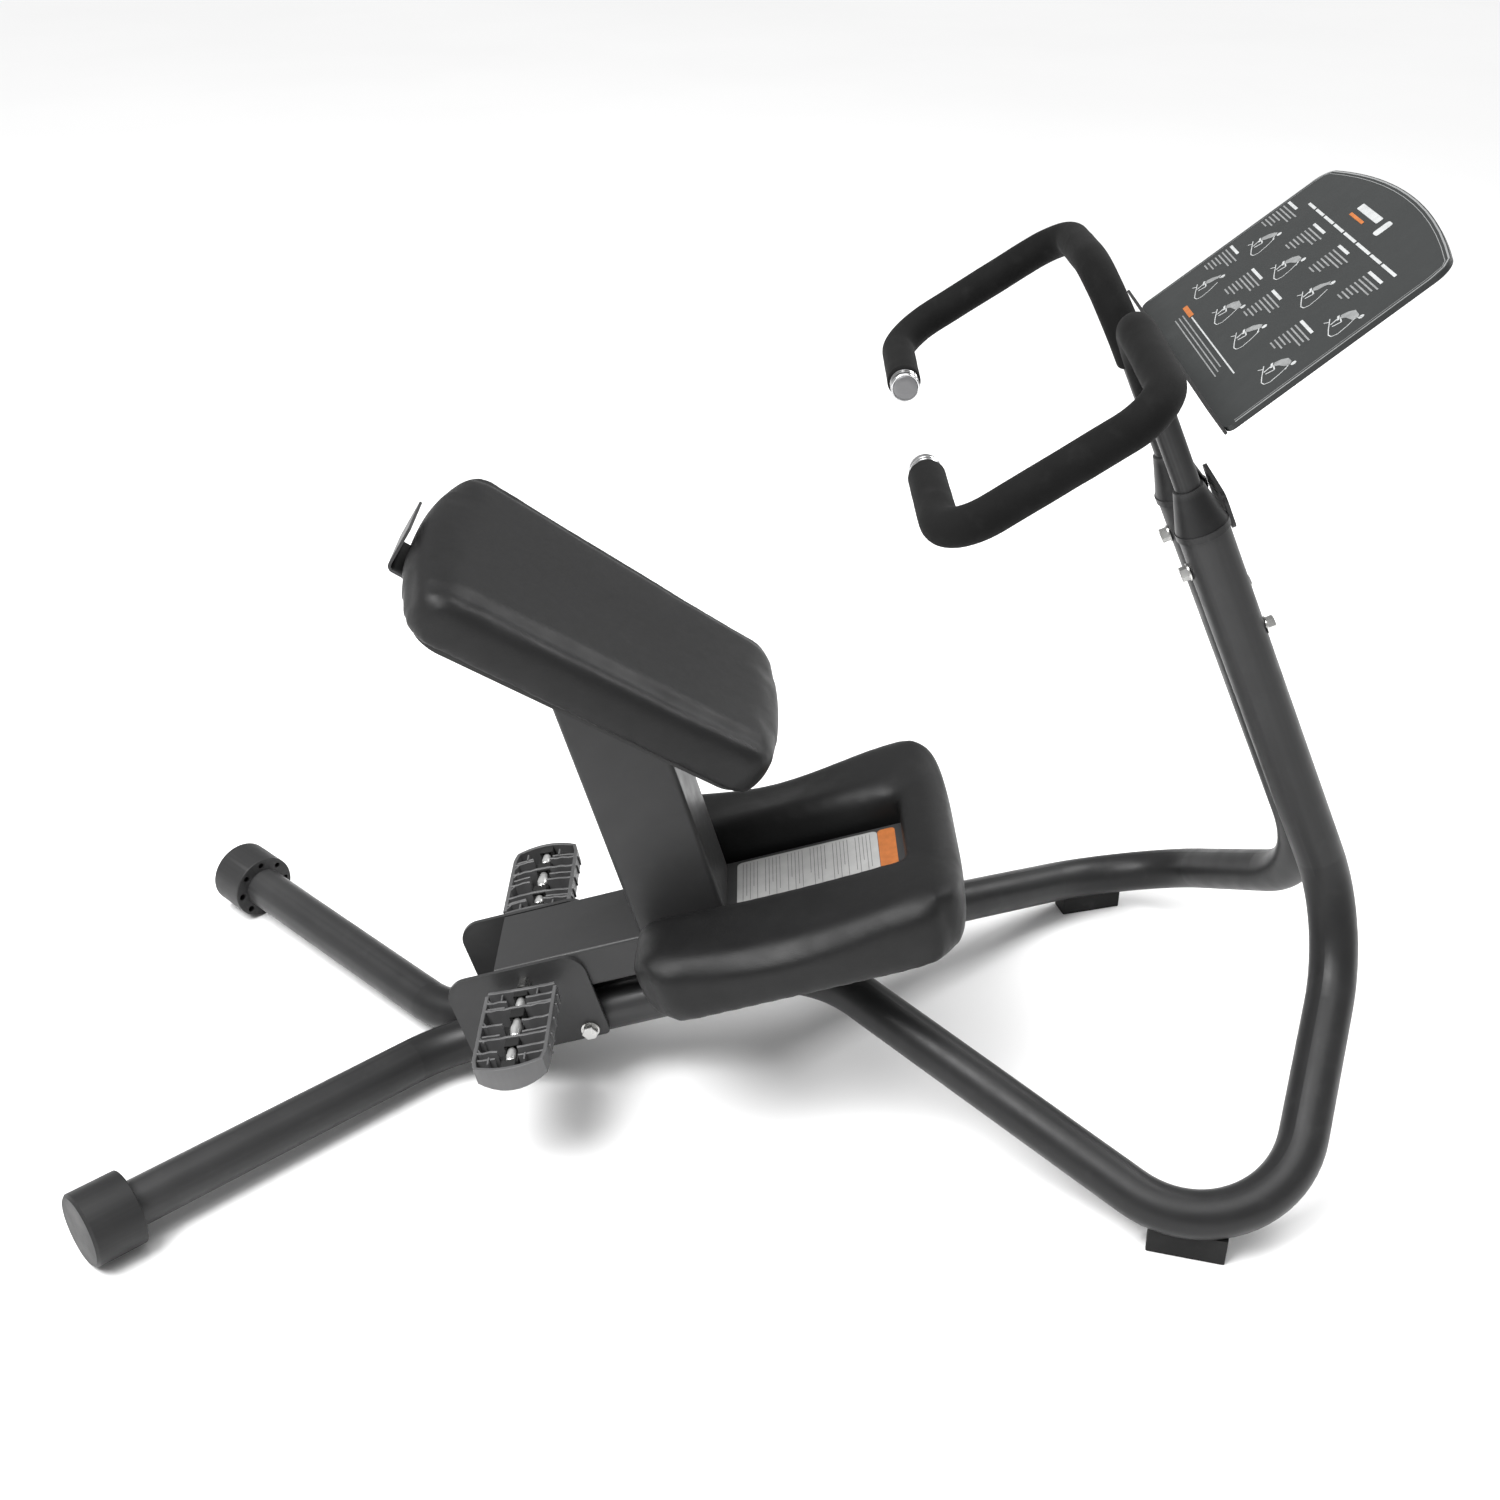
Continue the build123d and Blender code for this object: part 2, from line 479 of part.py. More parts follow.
STEM_WIDTH, PAD_WIDTH, BRACKET_THICK = 46.0, 116.0, 4.0
BRACKET_RUN, FOLD_AT = 110.0, 16.0
STEM_LOW_Z, STEM_HIGH_Z = 777.0, 806.0
stem_out = MAST_FRONT * ((CROSS_THICK + BRACKET_THICK) / 2 + SLIP)
stem_low = mast_point(0, STEM_LOW_Z) + stem_out
stem_high = mast_point(0, STEM_HIGH_Z) + stem_out
panel_edge = Vector(PLACARD_EDGE[0], 0, PLACARD_EDGE[1])
pad_line = panel_edge - PANEL_OUT * (PLACARD_THICK + BRACKET_THICK / 2 + SLIP)
fold = pad_line - PANEL_UP * FOLD_AT
pad_end = pad_line + PANEL_UP * BRACKET_RUN
with BuildPart() as placard_bracket:
    with BuildSketch(Plane.XZ.offset(-STEM_WIDTH / 2)):
        with BuildLine():
            FilletPolyline((stem_low.X, stem_low.Z), (stem_high.X, stem_high.Z), (fold.X, fold.Z),
                           (pad_end.X, pad_end.Z), radius=6.0)
        trace(line_width=BRACKET_THICK)
    extrude(amount=STEM_WIDTH)
    with BuildSketch(panel_plane(-PLACARD_THICK - SLIP)):
        with Locations((BRACKET_RUN / 2 + 4.0, 0)):
            RectangleRounded(BRACKET_RUN - 8.0, PAD_WIDTH, 8.0)
    extrude(amount=-BRACKET_THICK)
finish(placard_bracket.part, "placard_bracket")

# ---------------------------------------------------------------- carriage structure
BEAM_MIDDLE = BEAM_TOP - BEAM_HEIGHT / 2
PLUG_DEPTH, PLUG_FACE, PLUG_WALL = 14.0, 3.0, 3.0
BEAM_INNER = (BEAM_WIDTH - 2 * BEAM_WALL, BEAM_HEIGHT - 2 * BEAM_WALL)
PLUG_SIZE = (BEAM_INNER[0] - 4 * SLIP, BEAM_INNER[1] - 4 * SLIP)
beam_end = Plane(origin=spine_point(BEAM[0], 0, BEAM_MIDDLE), x_dir=(0, 1, 0), z_dir=ALONG)
with BuildPart() as beam:
    with BuildSketch(beam_end):
        RectangleRounded(BEAM_WIDTH, BEAM_HEIGHT, 4.0)
        RectangleRounded(BEAM_INNER[0], BEAM_INNER[1], 1.5, mode=Mode.SUBTRACT)
    extrude(amount=BEAM[1] - BEAM[0])
    with BuildSketch(across_plane(ROD_ALONG, ROD_UP, -BEAM_WIDTH)):
        Circle(ROD_D / 2 + 2 * SLIP)
    extrude(amount=2 * BEAM_WIDTH, mode=Mode.SUBTRACT)
finish(beam.part, "beam")

with BuildPart() as beam_plug:
    with BuildSketch(beam_end):
        RectangleRounded(PLUG_SIZE[0], PLUG_SIZE[1], 1.4)
    extrude(amount=PLUG_DEPTH)
    with BuildSketch(beam_end.offset(PLUG_FACE)):
        Rectangle(PLUG_SIZE[0] - 2 * PLUG_WALL, PLUG_SIZE[1] - 2 * PLUG_WALL)
    extrude(amount=PLUG_DEPTH, mode=Mode.SUBTRACT)
finish(beam_plug.part, "beam_plug")

PLATE_TOP_R, PLATE_LOW_R = 26.0, 6.0
PLATE_MIDDLE = ((PLATE[0] + PLATE[1]) / 2, (PLATE[2] + PLATE[3]) / 2)
for name, side in SIDES.items():
    with BuildPart() as side_plate:
        with BuildSketch(side_plane(side * BEAM_WIDTH / 2)) as plate_shape:
            with Locations(PLATE_MIDDLE):
                Rectangle(PLATE[1] - PLATE[0], PLATE[3] - PLATE[2])
            fillet(plate_shape.vertices().group_by(Axis.Y)[-1], PLATE_TOP_R)
            fillet(plate_shape.vertices().group_by(Axis.Y)[0], PLATE_LOW_R)
            Circle(PIVOT_BOLT_D / 2 + SLIP, mode=Mode.SUBTRACT)
            with Locations((ROD_ALONG, ROD_UP)):
                Circle(ROD_D / 2 + 2 * SLIP, mode=Mode.SUBTRACT)
        extrude(amount=-side * PLATE_THICK)
    finish(side_plate.part, f"side_plate_{name}")

SEAT_BOARD_LOW = -SEAT_THICK / 2 - BOARD_THICK
SEAT_PLATE_LOW = SEAT_BOARD_LOW - SEAT_PLATE[2]
POST_BLANK = 500.0         # longer than the post, which is cut to the seat plate's slope
with BuildPart() as seat_post:
    with BuildSketch(deck_plane(BEAM_TOP)):
        with Locations((POST_REAR + POST_SIDE / 2, 0)):
            RectangleRounded(POST_SIDE, POST_SIDE, 6.0)
            RectangleRounded(POST_SIDE - 2 * POST_WALL, POST_SIDE - 2 * POST_WALL, 3.0,
                             mode=Mode.SUBTRACT)
    extrude(amount=POST_BLANK)
    split(bisect_by=seat_plane(SEAT_PLATE_LOW), keep=Keep.BOTTOM)
finish(seat_post.part, "seat_post")

with BuildPart() as seat_plate:
    with BuildSketch(seat_plane(SEAT_PLATE_LOW)):
        with Locations((POST_MEETS_SEAT, 0)):
            RectangleRounded(SEAT_PLATE[0], SEAT_PLATE[1], 12.0)
            with GridLocations(SEAT_PLATE[0] - 34.0, SEAT_PLATE[1] - 32.0, 2, 2):
                Circle(SEAT_SCREW_HOLE / 2, mode=Mode.SUBTRACT)
    extrude(amount=SEAT_PLATE[2])
finish(seat_plate.part, "seat_plate")


def seat_outline(inset):
    """Seat seen from above: wider at the rear, with arced ends."""
    half = SEAT_LENGTH / 2 - inset
    rear, front = SEAT_REAR_WIDTH / 2 - inset, SEAT_FRONT_WIDTH / 2 - inset
    rear_x, front_x = -half + SEAT_REAR_ARC, half - SEAT_FRONT_ARC
    with BuildSketch(Plane.XY) as outline:
        with BuildLine():
            ThreePointArc((rear_x, -rear), (-half, 0), (rear_x, rear))
            Line((rear_x, rear), (front_x, front))
            ThreePointArc((front_x, front), (half, 0), (front_x, -front))
            Line((front_x, -front), (rear_x, -rear))
        make_face()
        fillet(outline.vertices(), SEAT_CORNER_R)
    return outline.sketch


SEAT_REAR_ARC, SEAT_FRONT_ARC, SEAT_CORNER_R = 30.0, 16.0, 30.0
SEAT_BOARD_INSET = 14.0
seat_normal = Axis(Vector(*SEAT_AT), SEAT_UP)
seat_board_shape = seat_outline(SEAT_BOARD_INSET)
with BuildPart() as seat_board:
    with BuildSketch(seat_plane(SEAT_BOARD_LOW)):
        add(seat_board_shape)
    extrude(amount=BOARD_THICK - SLIP)
finish(seat_board.part, "seat_board")

seat_cushion_shape = seat_outline(0.0)
with BuildPart() as seat_cushion:
    with BuildSketch(seat_plane(-SEAT_THICK / 2)):
        add(seat_cushion_shape)
    extrude(amount=SEAT_THICK)
    fillet(seat_cushion.faces().sort_by(seat_normal)[-1].edges(), 16.0)
    fillet(seat_cushion.faces().sort_by(seat_normal)[0].edges(), 7.0)
finish(seat_cushion.part, "seat_cushion")

# A folded strip under the board stands up behind the seat's rear end.
HEEL_WIDTH, HEEL_THICK, HEEL_RUN = 70.0, 3.0, 86.0
HEEL_AT = -SEAT_LENGTH / 2 - 8.0
HEEL_LOW = SEAT_BOARD_LOW - HEEL_THICK / 2 - SLIP
HEEL_HIGH = SEAT_THICK / 2 - 12.0
heel_plane = Plane(origin=Vector(*SEAT_AT) + Vector(0, HEEL_WIDTH / 2, 0), x_dir=SEAT_ALONG,
                   z_dir=(0, -1, 0))
with BuildPart() as heel_bracket:
    with BuildSketch(heel_plane):
        with BuildLine():
            FilletPolyline((HEEL_AT + HEEL_RUN, HEEL_LOW), (HEEL_AT, HEEL_LOW), (HEEL_AT, HEEL_HIGH),
                           radius=6.0)
        trace(line_width=HEEL_THICK)
    extrude(amount=HEEL_WIDTH)
finish(heel_bracket.part, "seat_heel_bracket")

# ---------------------------------------------------------------- knee pad
WING_FROM, WING_TO, WING_REACH, WING_THICK = 140.0, 330.0, 150.0, 5.0
wing_inner = BEAM_WIDTH / 2 + SLIP
for name, side in SIDES.items():
    with BuildPart() as wing:
        with BuildSketch(deck_plane(KNEE_BOARD_LOW - SLIP)):
            with Locations(((WING_FROM + WING_TO) / 2, side * (wing_inner + WING_REACH) / 2)):
                RectangleRounded(WING_TO - WING_FROM, WING_REACH - wing_inner, 8.0)
        extrude(amount=-WING_THICK)
    finish(wing.part, f"knee_wing_{name}")


def knee_outline(inset, slot_width, slot_end, corner_r, slot_r):
    """Knee pad seen square to the spine: a rounded square with a slot open to the rear."""
    slot_length = slot_end - KNEE_PAD[0] + corner_r
    with BuildSketch(Plane.XY) as outline:
        with Locations(((KNEE_PAD[0] + KNEE_PAD[1]) / 2, 0)):
            Rectangle(KNEE_PAD[1] - KNEE_PAD[0] - 2 * inset, KNEE_WIDTH - 2 * inset)
        fillet(outline.vertices(), corner_r)
        with Locations((slot_end - slot_length / 2, 0)):
            Rectangle(slot_length, slot_width, mode=Mode.SUBTRACT)
        fillet(outline.vertices().filter_by(lambda v: abs(v.X - slot_end) < 0.01), slot_r)
    return outline.sketch


KNEE_BOARD_INSET, KNEE_BOARD_AIR = 7.0, 1.5
deck_normal = Axis(PIVOT, SQUARE)
knee_board_shape = knee_outline(KNEE_BOARD_INSET, BEAM_WIDTH + 2 * KNEE_BOARD_AIR,
                                BEAM[1] + KNEE_BOARD_AIR, 34.0, 2.0)
with BuildPart() as knee_board:
    with BuildSketch(deck_plane(KNEE_BOARD_LOW)):
        add(knee_board_shape)
    extrude(amount=KNEE_BOARD_THICK - SLIP)
finish(knee_board.part, "knee_board")

knee_cushion_shape = knee_outline(0.0, KNEE_SLOT_WIDTH, KNEE_SLOT_END, 40.0, 10.0)
with BuildPart() as knee_cushion:
    with BuildSketch(deck_plane(KNEE_PAD_LOW)):
        add(knee_cushion_shape)
    extrude(amount=KNEE_PAD_TOP - KNEE_PAD_LOW)
    fillet(knee_cushion.faces().sort_by(deck_normal)[-1].edges(), 9.0)
    fillet(knee_cushion.faces().sort_by(deck_normal)[0].edges(), 6.0)
finish(knee_cushion.part, "knee_cushion")

# ---------------------------------------------------------------- foot pegs and their rod
ROD_HALF = PEG_INNER + PEG_LENGTH
ROD_CENTRE = spine_point(ROD_ALONG, 0, ROD_UP)
ROD_NUT_AF, ROD_WASHER = 13.0, (17.0, 2.0)
PEG_ALONG = Vector(cos(radians(PEG_SLOPE)), 0, sin(radians(PEG_SLOPE)))
PEG_SQUARE = Vector(-sin(radians(PEG_SLOPE)), 0, cos(radians(PEG_SLOPE)))
with BuildPart() as peg_rod:
    with BuildSketch(across_plane(ROD_ALONG, ROD_UP, -ROD_HALF)):
        Circle(ROD_D / 2)
    extrude(amount=2 * ROD_HALF)
    chamfer(peg_rod.edges().filter_by(GeomType.CIRCLE), 0.8)
finish(peg_rod.part, "peg_rod")

washer_at = PEG_INNER - GAP - ROD_WASHER[1]
for name, side in SIDES.items():
    with BuildPart() as rod_nut:
        with BuildSketch(across_plane(ROD_ALONG, ROD_UP, side * PLATE_OUTER_Y)):
            RegularPolygon(ROD_NUT_AF / 2, 6, major_radius=False)
            Circle(ROD_D / 2, mode=Mode.SUBTRACT)
        extrude(amount=side * (washer_at - PLATE_OUTER_Y))
    finish(rod_nut.part, f"rod_nut_{name}")

    with BuildPart() as rod_washer:
        with BuildSketch(across_plane(ROD_ALONG, ROD_UP, side * washer_at)):
            Circle(ROD_WASHER[0] / 2)
            Circle(ROD_D / 2, mode=Mode.SUBTRACT)
        extrude(amount=side * ROD_WASHER[1])
    finish(rod_washer.part, f"rod_washer_{name}")


def peg_deck(up):
    """Plane parallel to the top of a foot peg, measured from the rod."""
    return Plane(origin=ROD_CENTRE + PEG_SQUARE * up, x_dir=PEG_ALONG, z_dir=PEG_SQUARE)


PEG_TOP, PEG_CROWN, PEG_SIDE_LOW, PEG_BELLY = 8.0, 1.5, -11.0, -21.0
PEG_ROWS, RIB, RIM, HUB_WIDTH, WINDOW_WIDTH = 8, 3.5, 4.5, 15.0, 11.0
PEG_WINDOWS = ((14.0, 31.0), (50.0, 80.0), (99.0, 120.0))   # the rod shows through these
CELL_DEPTH = PEG_TOP + 12.0
ROD_BORE_R = ROD_D / 2 + 0.06
half_width = PEG_WIDTH / 2
cell_width = half_width - RIM - HUB_WIDTH / 2
row_pitch = (PEG_LENGTH - RIB) / PEG_ROWS
far_y, end_y = PEG_INNER + PEG_LENGTH, PEG_INNER + PEG_LENGTH + PEG_END_BULGE
for name, side in SIDES.items():
    end_plane = Plane(origin=ROD_CENTRE + Vector(0, side * end_y, 0), x_dir=PEG_ALONG,
                      z_dir=(0, -1, 0))
    with BuildPart() as peg:
        # the peg's section: a flat-sided trough with a gently crowned top and a round belly
        with BuildSketch(end_plane):
            with BuildLine():
                Line((-half_width, PEG_SIDE_LOW), (-half_width, PEG_TOP - PEG_CROWN))
                ThreePointArc((-half_width, PEG_TOP - PEG_CROWN), (0, PEG_TOP),
                              (half_width, PEG_TOP - PEG_CROWN))
                Line((half_width, PEG_TOP - PEG_CROWN), (half_width, PEG_SIDE_LOW))
                ThreePointArc((half_width, PEG_SIDE_LOW), (0, PEG_BELLY), (-half_width, PEG_SIDE_LOW))
            make_face()
        extrude(amount=side * (end_y - PEG_INNER))
        # the outer end is arced in plan
        with BuildSketch(peg_deck(PEG_BELLY - 10.0)):
            with BuildLine():
                Polyline((-half_width, side * far_y), (-PEG_WIDTH, side * far_y),
                         (-PEG_WIDTH, side * PEG_INNER), (PEG_WIDTH, side * PEG_INNER),
                         (PEG_WIDTH, side * far_y), (half_width, side * far_y))
                ThreePointArc((half_width, side * far_y), (0, side * end_y),
                              (-half_width, side * far_y))
            make_face()
        extrude(amount=PEG_WIDTH, mode=Mode.INTERSECT)
        # cells between the ribs, open at the top, and windows that show the rod
        for row in range(PEG_ROWS):
            middle_y = side * (PEG_INNER + RIB + row_pitch * row + (row_pitch - RIB) / 2)
            with BuildSketch(peg_deck(PEG_TOP)):
                for half in (-1, 1):
                    with Locations((half * (HUB_WIDTH + cell_width) / 2, middle_y)):
                        RectangleRounded(cell_width, row_pitch - RIB, 2.0)
            extrude(amount=-CELL_DEPTH, mode=Mode.SUBTRACT)
        with BuildSketch(peg_deck(PEG_TOP)):
            for window_from, window_to in PEG_WINDOWS:
                with Locations((0, side * (PEG_INNER + (window_from + window_to) / 2))):
                    RectangleRounded(WINDOW_WIDTH, window_to - window_from, 5.0)
        extrude(amount=-PEG_TOP, mode=Mode.SUBTRACT)
        with BuildSketch(across_plane(ROD_ALONG, ROD_UP, side * PEG_INNER)):
            Circle(ROD_BORE_R)
        extrude(amount=side * (ROD_HALF - PEG_INNER + GAP), mode=Mode.SUBTRACT)
    finish(peg.part, f"foot_peg_{name}")
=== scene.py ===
"""Looks for the rocking stretch trainer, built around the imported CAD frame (metres)."""
import json
from math import cos, exp, pi, radians, sin, sqrt, tan

import bmesh
import bpy
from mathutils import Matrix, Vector, noise


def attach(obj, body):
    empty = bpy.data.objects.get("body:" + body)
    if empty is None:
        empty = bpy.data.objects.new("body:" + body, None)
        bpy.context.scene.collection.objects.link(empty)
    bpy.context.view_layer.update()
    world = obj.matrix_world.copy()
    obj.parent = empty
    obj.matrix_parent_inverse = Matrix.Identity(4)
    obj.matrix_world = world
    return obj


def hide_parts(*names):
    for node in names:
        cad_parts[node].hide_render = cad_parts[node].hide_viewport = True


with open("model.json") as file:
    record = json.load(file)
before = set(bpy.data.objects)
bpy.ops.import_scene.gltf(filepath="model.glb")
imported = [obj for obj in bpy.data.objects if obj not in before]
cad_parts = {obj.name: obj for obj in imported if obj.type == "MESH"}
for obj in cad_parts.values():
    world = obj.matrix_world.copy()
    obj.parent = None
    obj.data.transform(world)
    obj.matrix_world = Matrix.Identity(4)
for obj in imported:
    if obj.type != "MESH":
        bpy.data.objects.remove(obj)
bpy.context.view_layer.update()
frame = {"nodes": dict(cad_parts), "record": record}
NODES = frame["nodes"]
RECORD = frame["record"]
SIDES = {"left": 1, "right": -1}

# ---------------------------------------------------------------- the part's own axes, as in the CAD
SPINE = radians(16.0)
PIVOT = Vector((-0.157, 0.0, 0.085894))
ALONG = Vector((cos(SPINE), 0, sin(SPINE)))
SQUARE = Vector((-sin(SPINE), 0, cos(SPINE)))
SEAT_AT = Vector((-0.128, 0.0, 0.560))
SEAT_TILT = radians(32.0)
SEAT_ALONG = Vector((cos(SEAT_TILT), 0, -sin(SEAT_TILT)))
SEAT_UP = Vector((sin(SEAT_TILT), 0, cos(SEAT_TILT)))
PANEL_AT = Vector((0.431, 0.0, 0.843))
PANEL_TILT = radians(39.4)
PANEL_UP = Vector((cos(PANEL_TILT), 0, sin(PANEL_TILT)))
PANEL_OUT = Vector((-sin(PANEL_TILT), 0, cos(PANEL_TILT)))
ACROSS = Vector((0, 1, 0))
OFF_AXIS = Vector((0.3, 0.2, 1))  # a direction that no tube or axle here runs along


def deck(s, y, d):
    """Point on the carriage: along the spine, across, and square to it, in metres."""
    return PIVOT + ALONG * s + ACROSS * y + SQUARE * d


def panel(u, y, out):
    """Point on the placard: up from its lower edge, across, and out of its face."""
    return PANEL_AT + PANEL_UP * u + ACROSS * y + PANEL_OUT * out


def smooth_step(low, high, value):
    """0 below low, 1 above high, eased between."""
    t = min(1.0, max(0.0, (value - low) / (high - low)))
    return t * t * (3 - 2 * t)


# ---------------------------------------------------------------- materials
def material(name, base, rough, metal=0.0, vary=0.12, vary_scale=5.0, grain=(), rough_vary=0.06,
             edge_highlight=0.0, coat=0.0, sheen=0.0, dust=0.0, specular=0.5):
    """Principled material; grain rows are (kind, scale per metre, strength, depth in metres)."""
    mat = bpy.data.materials.new(name)
    mat.use_nodes = True
    nodes, links = mat.node_tree.nodes, mat.node_tree.links
    shader = nodes["Principled BSDF"]
    shader.inputs["Metallic"].default_value = metal
    shader.inputs["Specular IOR Level"].default_value = specular
    if coat:
        shader.inputs["Coat Weight"].default_value = coat
        shader.inputs["Coat Roughness"].default_value = 0.25
    if sheen:
        shader.inputs["Sheen Weight"].default_value = sheen
        shader.inputs["Sheen Roughness"].default_value = 0.45
    place = nodes.new("ShaderNodeTexCoord").outputs["Object"]

    def noise_at(scale, detail=4.0):
        tex = nodes.new("ShaderNodeTexNoise")
        tex.inputs["Scale"].default_value = scale
        tex.inputs["Detail"].default_value = detail
        links.new(place, tex.inputs["Vector"])
        return tex.outputs["Fac"]

    def mix_colour(fac, a, b):
        mix = nodes.new("ShaderNodeMix")
        mix.data_type = "RGBA"
        links.new(fac, mix.inputs["Factor"])
        for socket, value in ((mix.inputs[6], a), (mix.inputs[7], b)):
            if isinstance(value, tuple):
                socket.default_value = (*value, 1.0)
            else:
                links.new(value, socket)
        return mix.outputs[2]

    def remap(fac, low, high, to_low, to_high):
        ramp = nodes.new("ShaderNodeMapRange")
        for socket, value in zip(("From Min", "From Max", "To Min", "To Max"),
                                 (low, high, to_low, to_high)):
            ramp.inputs[socket].default_value = value
        links.new(fac, ramp.inputs["Value"])
        return ramp.outputs["Result"]

    dark = tuple(c * (1 - vary) for c in base)
    light = tuple(min(1.0, c * (1 + vary)) for c in base)
    broad = remap(noise_at(vary_scale), 0.35, 0.65, 0.0, 1.0)
    colour = mix_colour(broad, dark, light)
    if dust:
        specks = remap(noise_at(55.0, 8.0), 0.56, 0.74, 0.0, dust)
        colour = mix_colour(specks, colour, tuple(min(1.0, c * 1.6 + 0.03) for c in base))
    # Convex edges, found by pointiness, are mixed to a lighter colour: a painted highlight along the
    # edges.
    if edge_highlight:
        edges = nodes.new("ShaderNodeNewGeometry").outputs["Pointiness"]
        edge_highlight_mask = remap(edges, 0.53, 0.60, 0.0, edge_highlight)
        colour = mix_colour(edge_highlight_mask, colour, tuple(min(1.0, c * 2.0 + 0.06) for c in base))
    links.new(colour, shader.inputs["Base Color"])
    links.new(remap(noise_at(38.0, 6.0), 0.3, 0.7, rough - rough_vary, rough + rough_vary),
              shader.inputs["Roughness"])
    normal = None
    for kind, scale, strength, depth in grain:
        if kind == "cells":
            tex = nodes.new("ShaderNodeTexVoronoi")
            tex.feature = "DISTANCE_TO_EDGE"
            tex.inputs["Scale"].default_value = scale
            links.new(place, tex.inputs["Vector"])
            height = remap(tex.outputs["Distance"], 0.0, 0.25, 0.0, 1.0)
        else:
            height = noise_at(scale, 3.0)
        bump = nodes.new("ShaderNodeBump")
        bump.inputs["Strength"].default_value = strength
        bump.inputs["Distance"].default_value = depth
        links.new(height, bump.inputs["Height"])
        if normal:
            links.new(normal, bump.inputs["Normal"])
        normal = bump.outputs["Normal"]
    if normal:
        links.new(normal, shader.inputs["Normal"])
    return mat


PAINT = material("frame_paint", (0.017, 0.017, 0.0174), 0.40, metal=0.12, vary=0.10, dust=0.10,
                 edge_highlight=0.30, specular=0.28,
                 grain=(("noise", 1100.0, 0.10, 0.0002), ("noise", 260.0, 0.05, 0.0004)))
PLASTIC = material("moulded_plastic", (0.019, 0.019, 0.0194), 0.50, vary=0.12, edge_highlight=0.25,
                   specular=0.28, grain=(("noise", 1500.0, 0.18, 0.0002),))
# Its lightened edges are a painted highlight on the peg's rib tops.
PEG_PLASTIC = material("peg_plastic", (0.055, 0.055, 0.056), 0.46, vary=0.12, edge_highlight=0.4,
                       specular=0.50, grain=(("noise", 1300.0, 0.20, 0.0002),))
# A darker copy of the peg plastic for the well: painted shade in the peg's pockets and between its
# windows.
PEG_SHADE = material("peg_inside_painted_shade", (0.016, 0.016, 0.016), 0.60, vary=0.20, specular=0.25,
                      grain=(("noise", 1300.0, 0.25, 0.0002),))
RUBBER = material("foot_rubber", (0.010, 0.010, 0.010), 0.78, vary=0.2, dust=0.25, specular=0.3,
                  grain=(("noise", 700.0, 0.25, 0.0003),))
ZINC = material("fastener_steel", (0.60, 0.60, 0.58), 0.28, metal=1.0, vary=0.10, vary_scale=60.0,
                edge_highlight=0.2, rough_vary=0.08, grain=(("noise", 900.0, 0.12, 0.0001),))
# Lighter than the rod's zinc: a painted highlight on the rod where it shows through the peg's
# windows.
ROD_HIGHLIGHT = material("rod_painted_highlight", (0.86, 0.86, 0.85), 0.34, metal=0.85, vary=0.05, vary_scale=60.0,
                  grain=(("noise", 900.0, 0.08, 0.0001),))
FOAM = material("grip_foam", (0.005, 0.005, 0.005), 0.84, vary=0.18, dust=0.10, sheen=0.02,
                specular=0.14,
                grain=(("noise", 1400.0, 0.40, 0.0004), ("cells", 520.0, 0.12, 0.0003)))
CHROME = material("bar_end_chrome", (0.80, 0.80, 0.81), 0.12, metal=1.0, vary=0.03, rough_vary=0.04,
                  grain=(("noise", 300.0, 0.02, 0.0001),))
CAP_FACE = material("bar_end_face", (0.20, 0.20, 0.205), 0.40, metal=0.6, vary=0.08, edge_highlight=0.2,
                    grain=(("noise", 900.0, 0.10, 0.0001),))
SHEET = material("placard_sheet", (0.026, 0.028, 0.028), 0.40, vary=0.05, dust=0.05, coat=0.06,
                 specular=0.30, grain=(("noise", 1600.0, 0.06, 0.0001),))
# Light strips drawn on the sheet's face: a painted highlight on the placard's bevelled rim.
RIM = material("placard_rim_highlight", (0.22, 0.225, 0.225), 0.45, vary=0.10,
               grain=(("noise", 900.0, 0.10, 0.0002),))
VINYL = material("pad_vinyl", (0.008, 0.008, 0.0082), 0.48, vary=0.12, dust=0.05, rough_vary=0.05,
                 specular=0.26,
                 grain=(("cells", 620.0, 0.22, 0.0003), ("noise", 90.0, 0.10, 0.0010)))
BOARD = material("board", (0.010, 0.010, 0.010), 0.66, vary=0.2, edge_highlight=0.3, specular=0.3,
                 grain=(("noise", 800.0, 0.25, 0.0003),))
PRINT = material("print_light", (0.42, 0.43, 0.43), 0.50, vary=0.10, vary_scale=120.0,
                 grain=(("noise", 1500.0, 0.08, 0.0001),))
PRINT_SOFT = material("print_grey", (0.21, 0.215, 0.215), 0.50, vary=0.15, vary_scale=160.0,
                      grain=(("noise", 1500.0, 0.08, 0.0001),))
ORANGE = material("print_orange", (0.40, 0.125, 0.03), 0.50, vary=0.10, vary_scale=120.0,
                  grain=(("noise", 1500.0, 0.08, 0.0001),))
LABEL = material("label_paper", (0.36, 0.36, 0.355), 0.42, vary=0.05, vary_scale=60.0,
                 grain=(("noise", 1200.0, 0.06, 0.0001),))
LABEL_INK = material("label_ink", (0.17, 0.17, 0.17), 0.50, vary=0.15, vary_scale=200.0,
                     grain=(("noise", 1500.0, 0.05, 0.0001),))

SLOT_LOOK = {"frame_paint": PAINT, "moulded_plastic": PLASTIC, "foot_rubber": RUBBER,
             "fastener_steel": ZINC, "grip_foam": FOAM, "bar_end_chrome": CHROME,
             "placard_sheet": SHEET, "board": BOARD, "pad_vinyl": VINYL}
for row in RECORD["subparts"]:
    node = NODES[row["node"]]
    node.data.materials.clear()
    node.data.materials.append(SLOT_LOOK[row["material_slot"]])


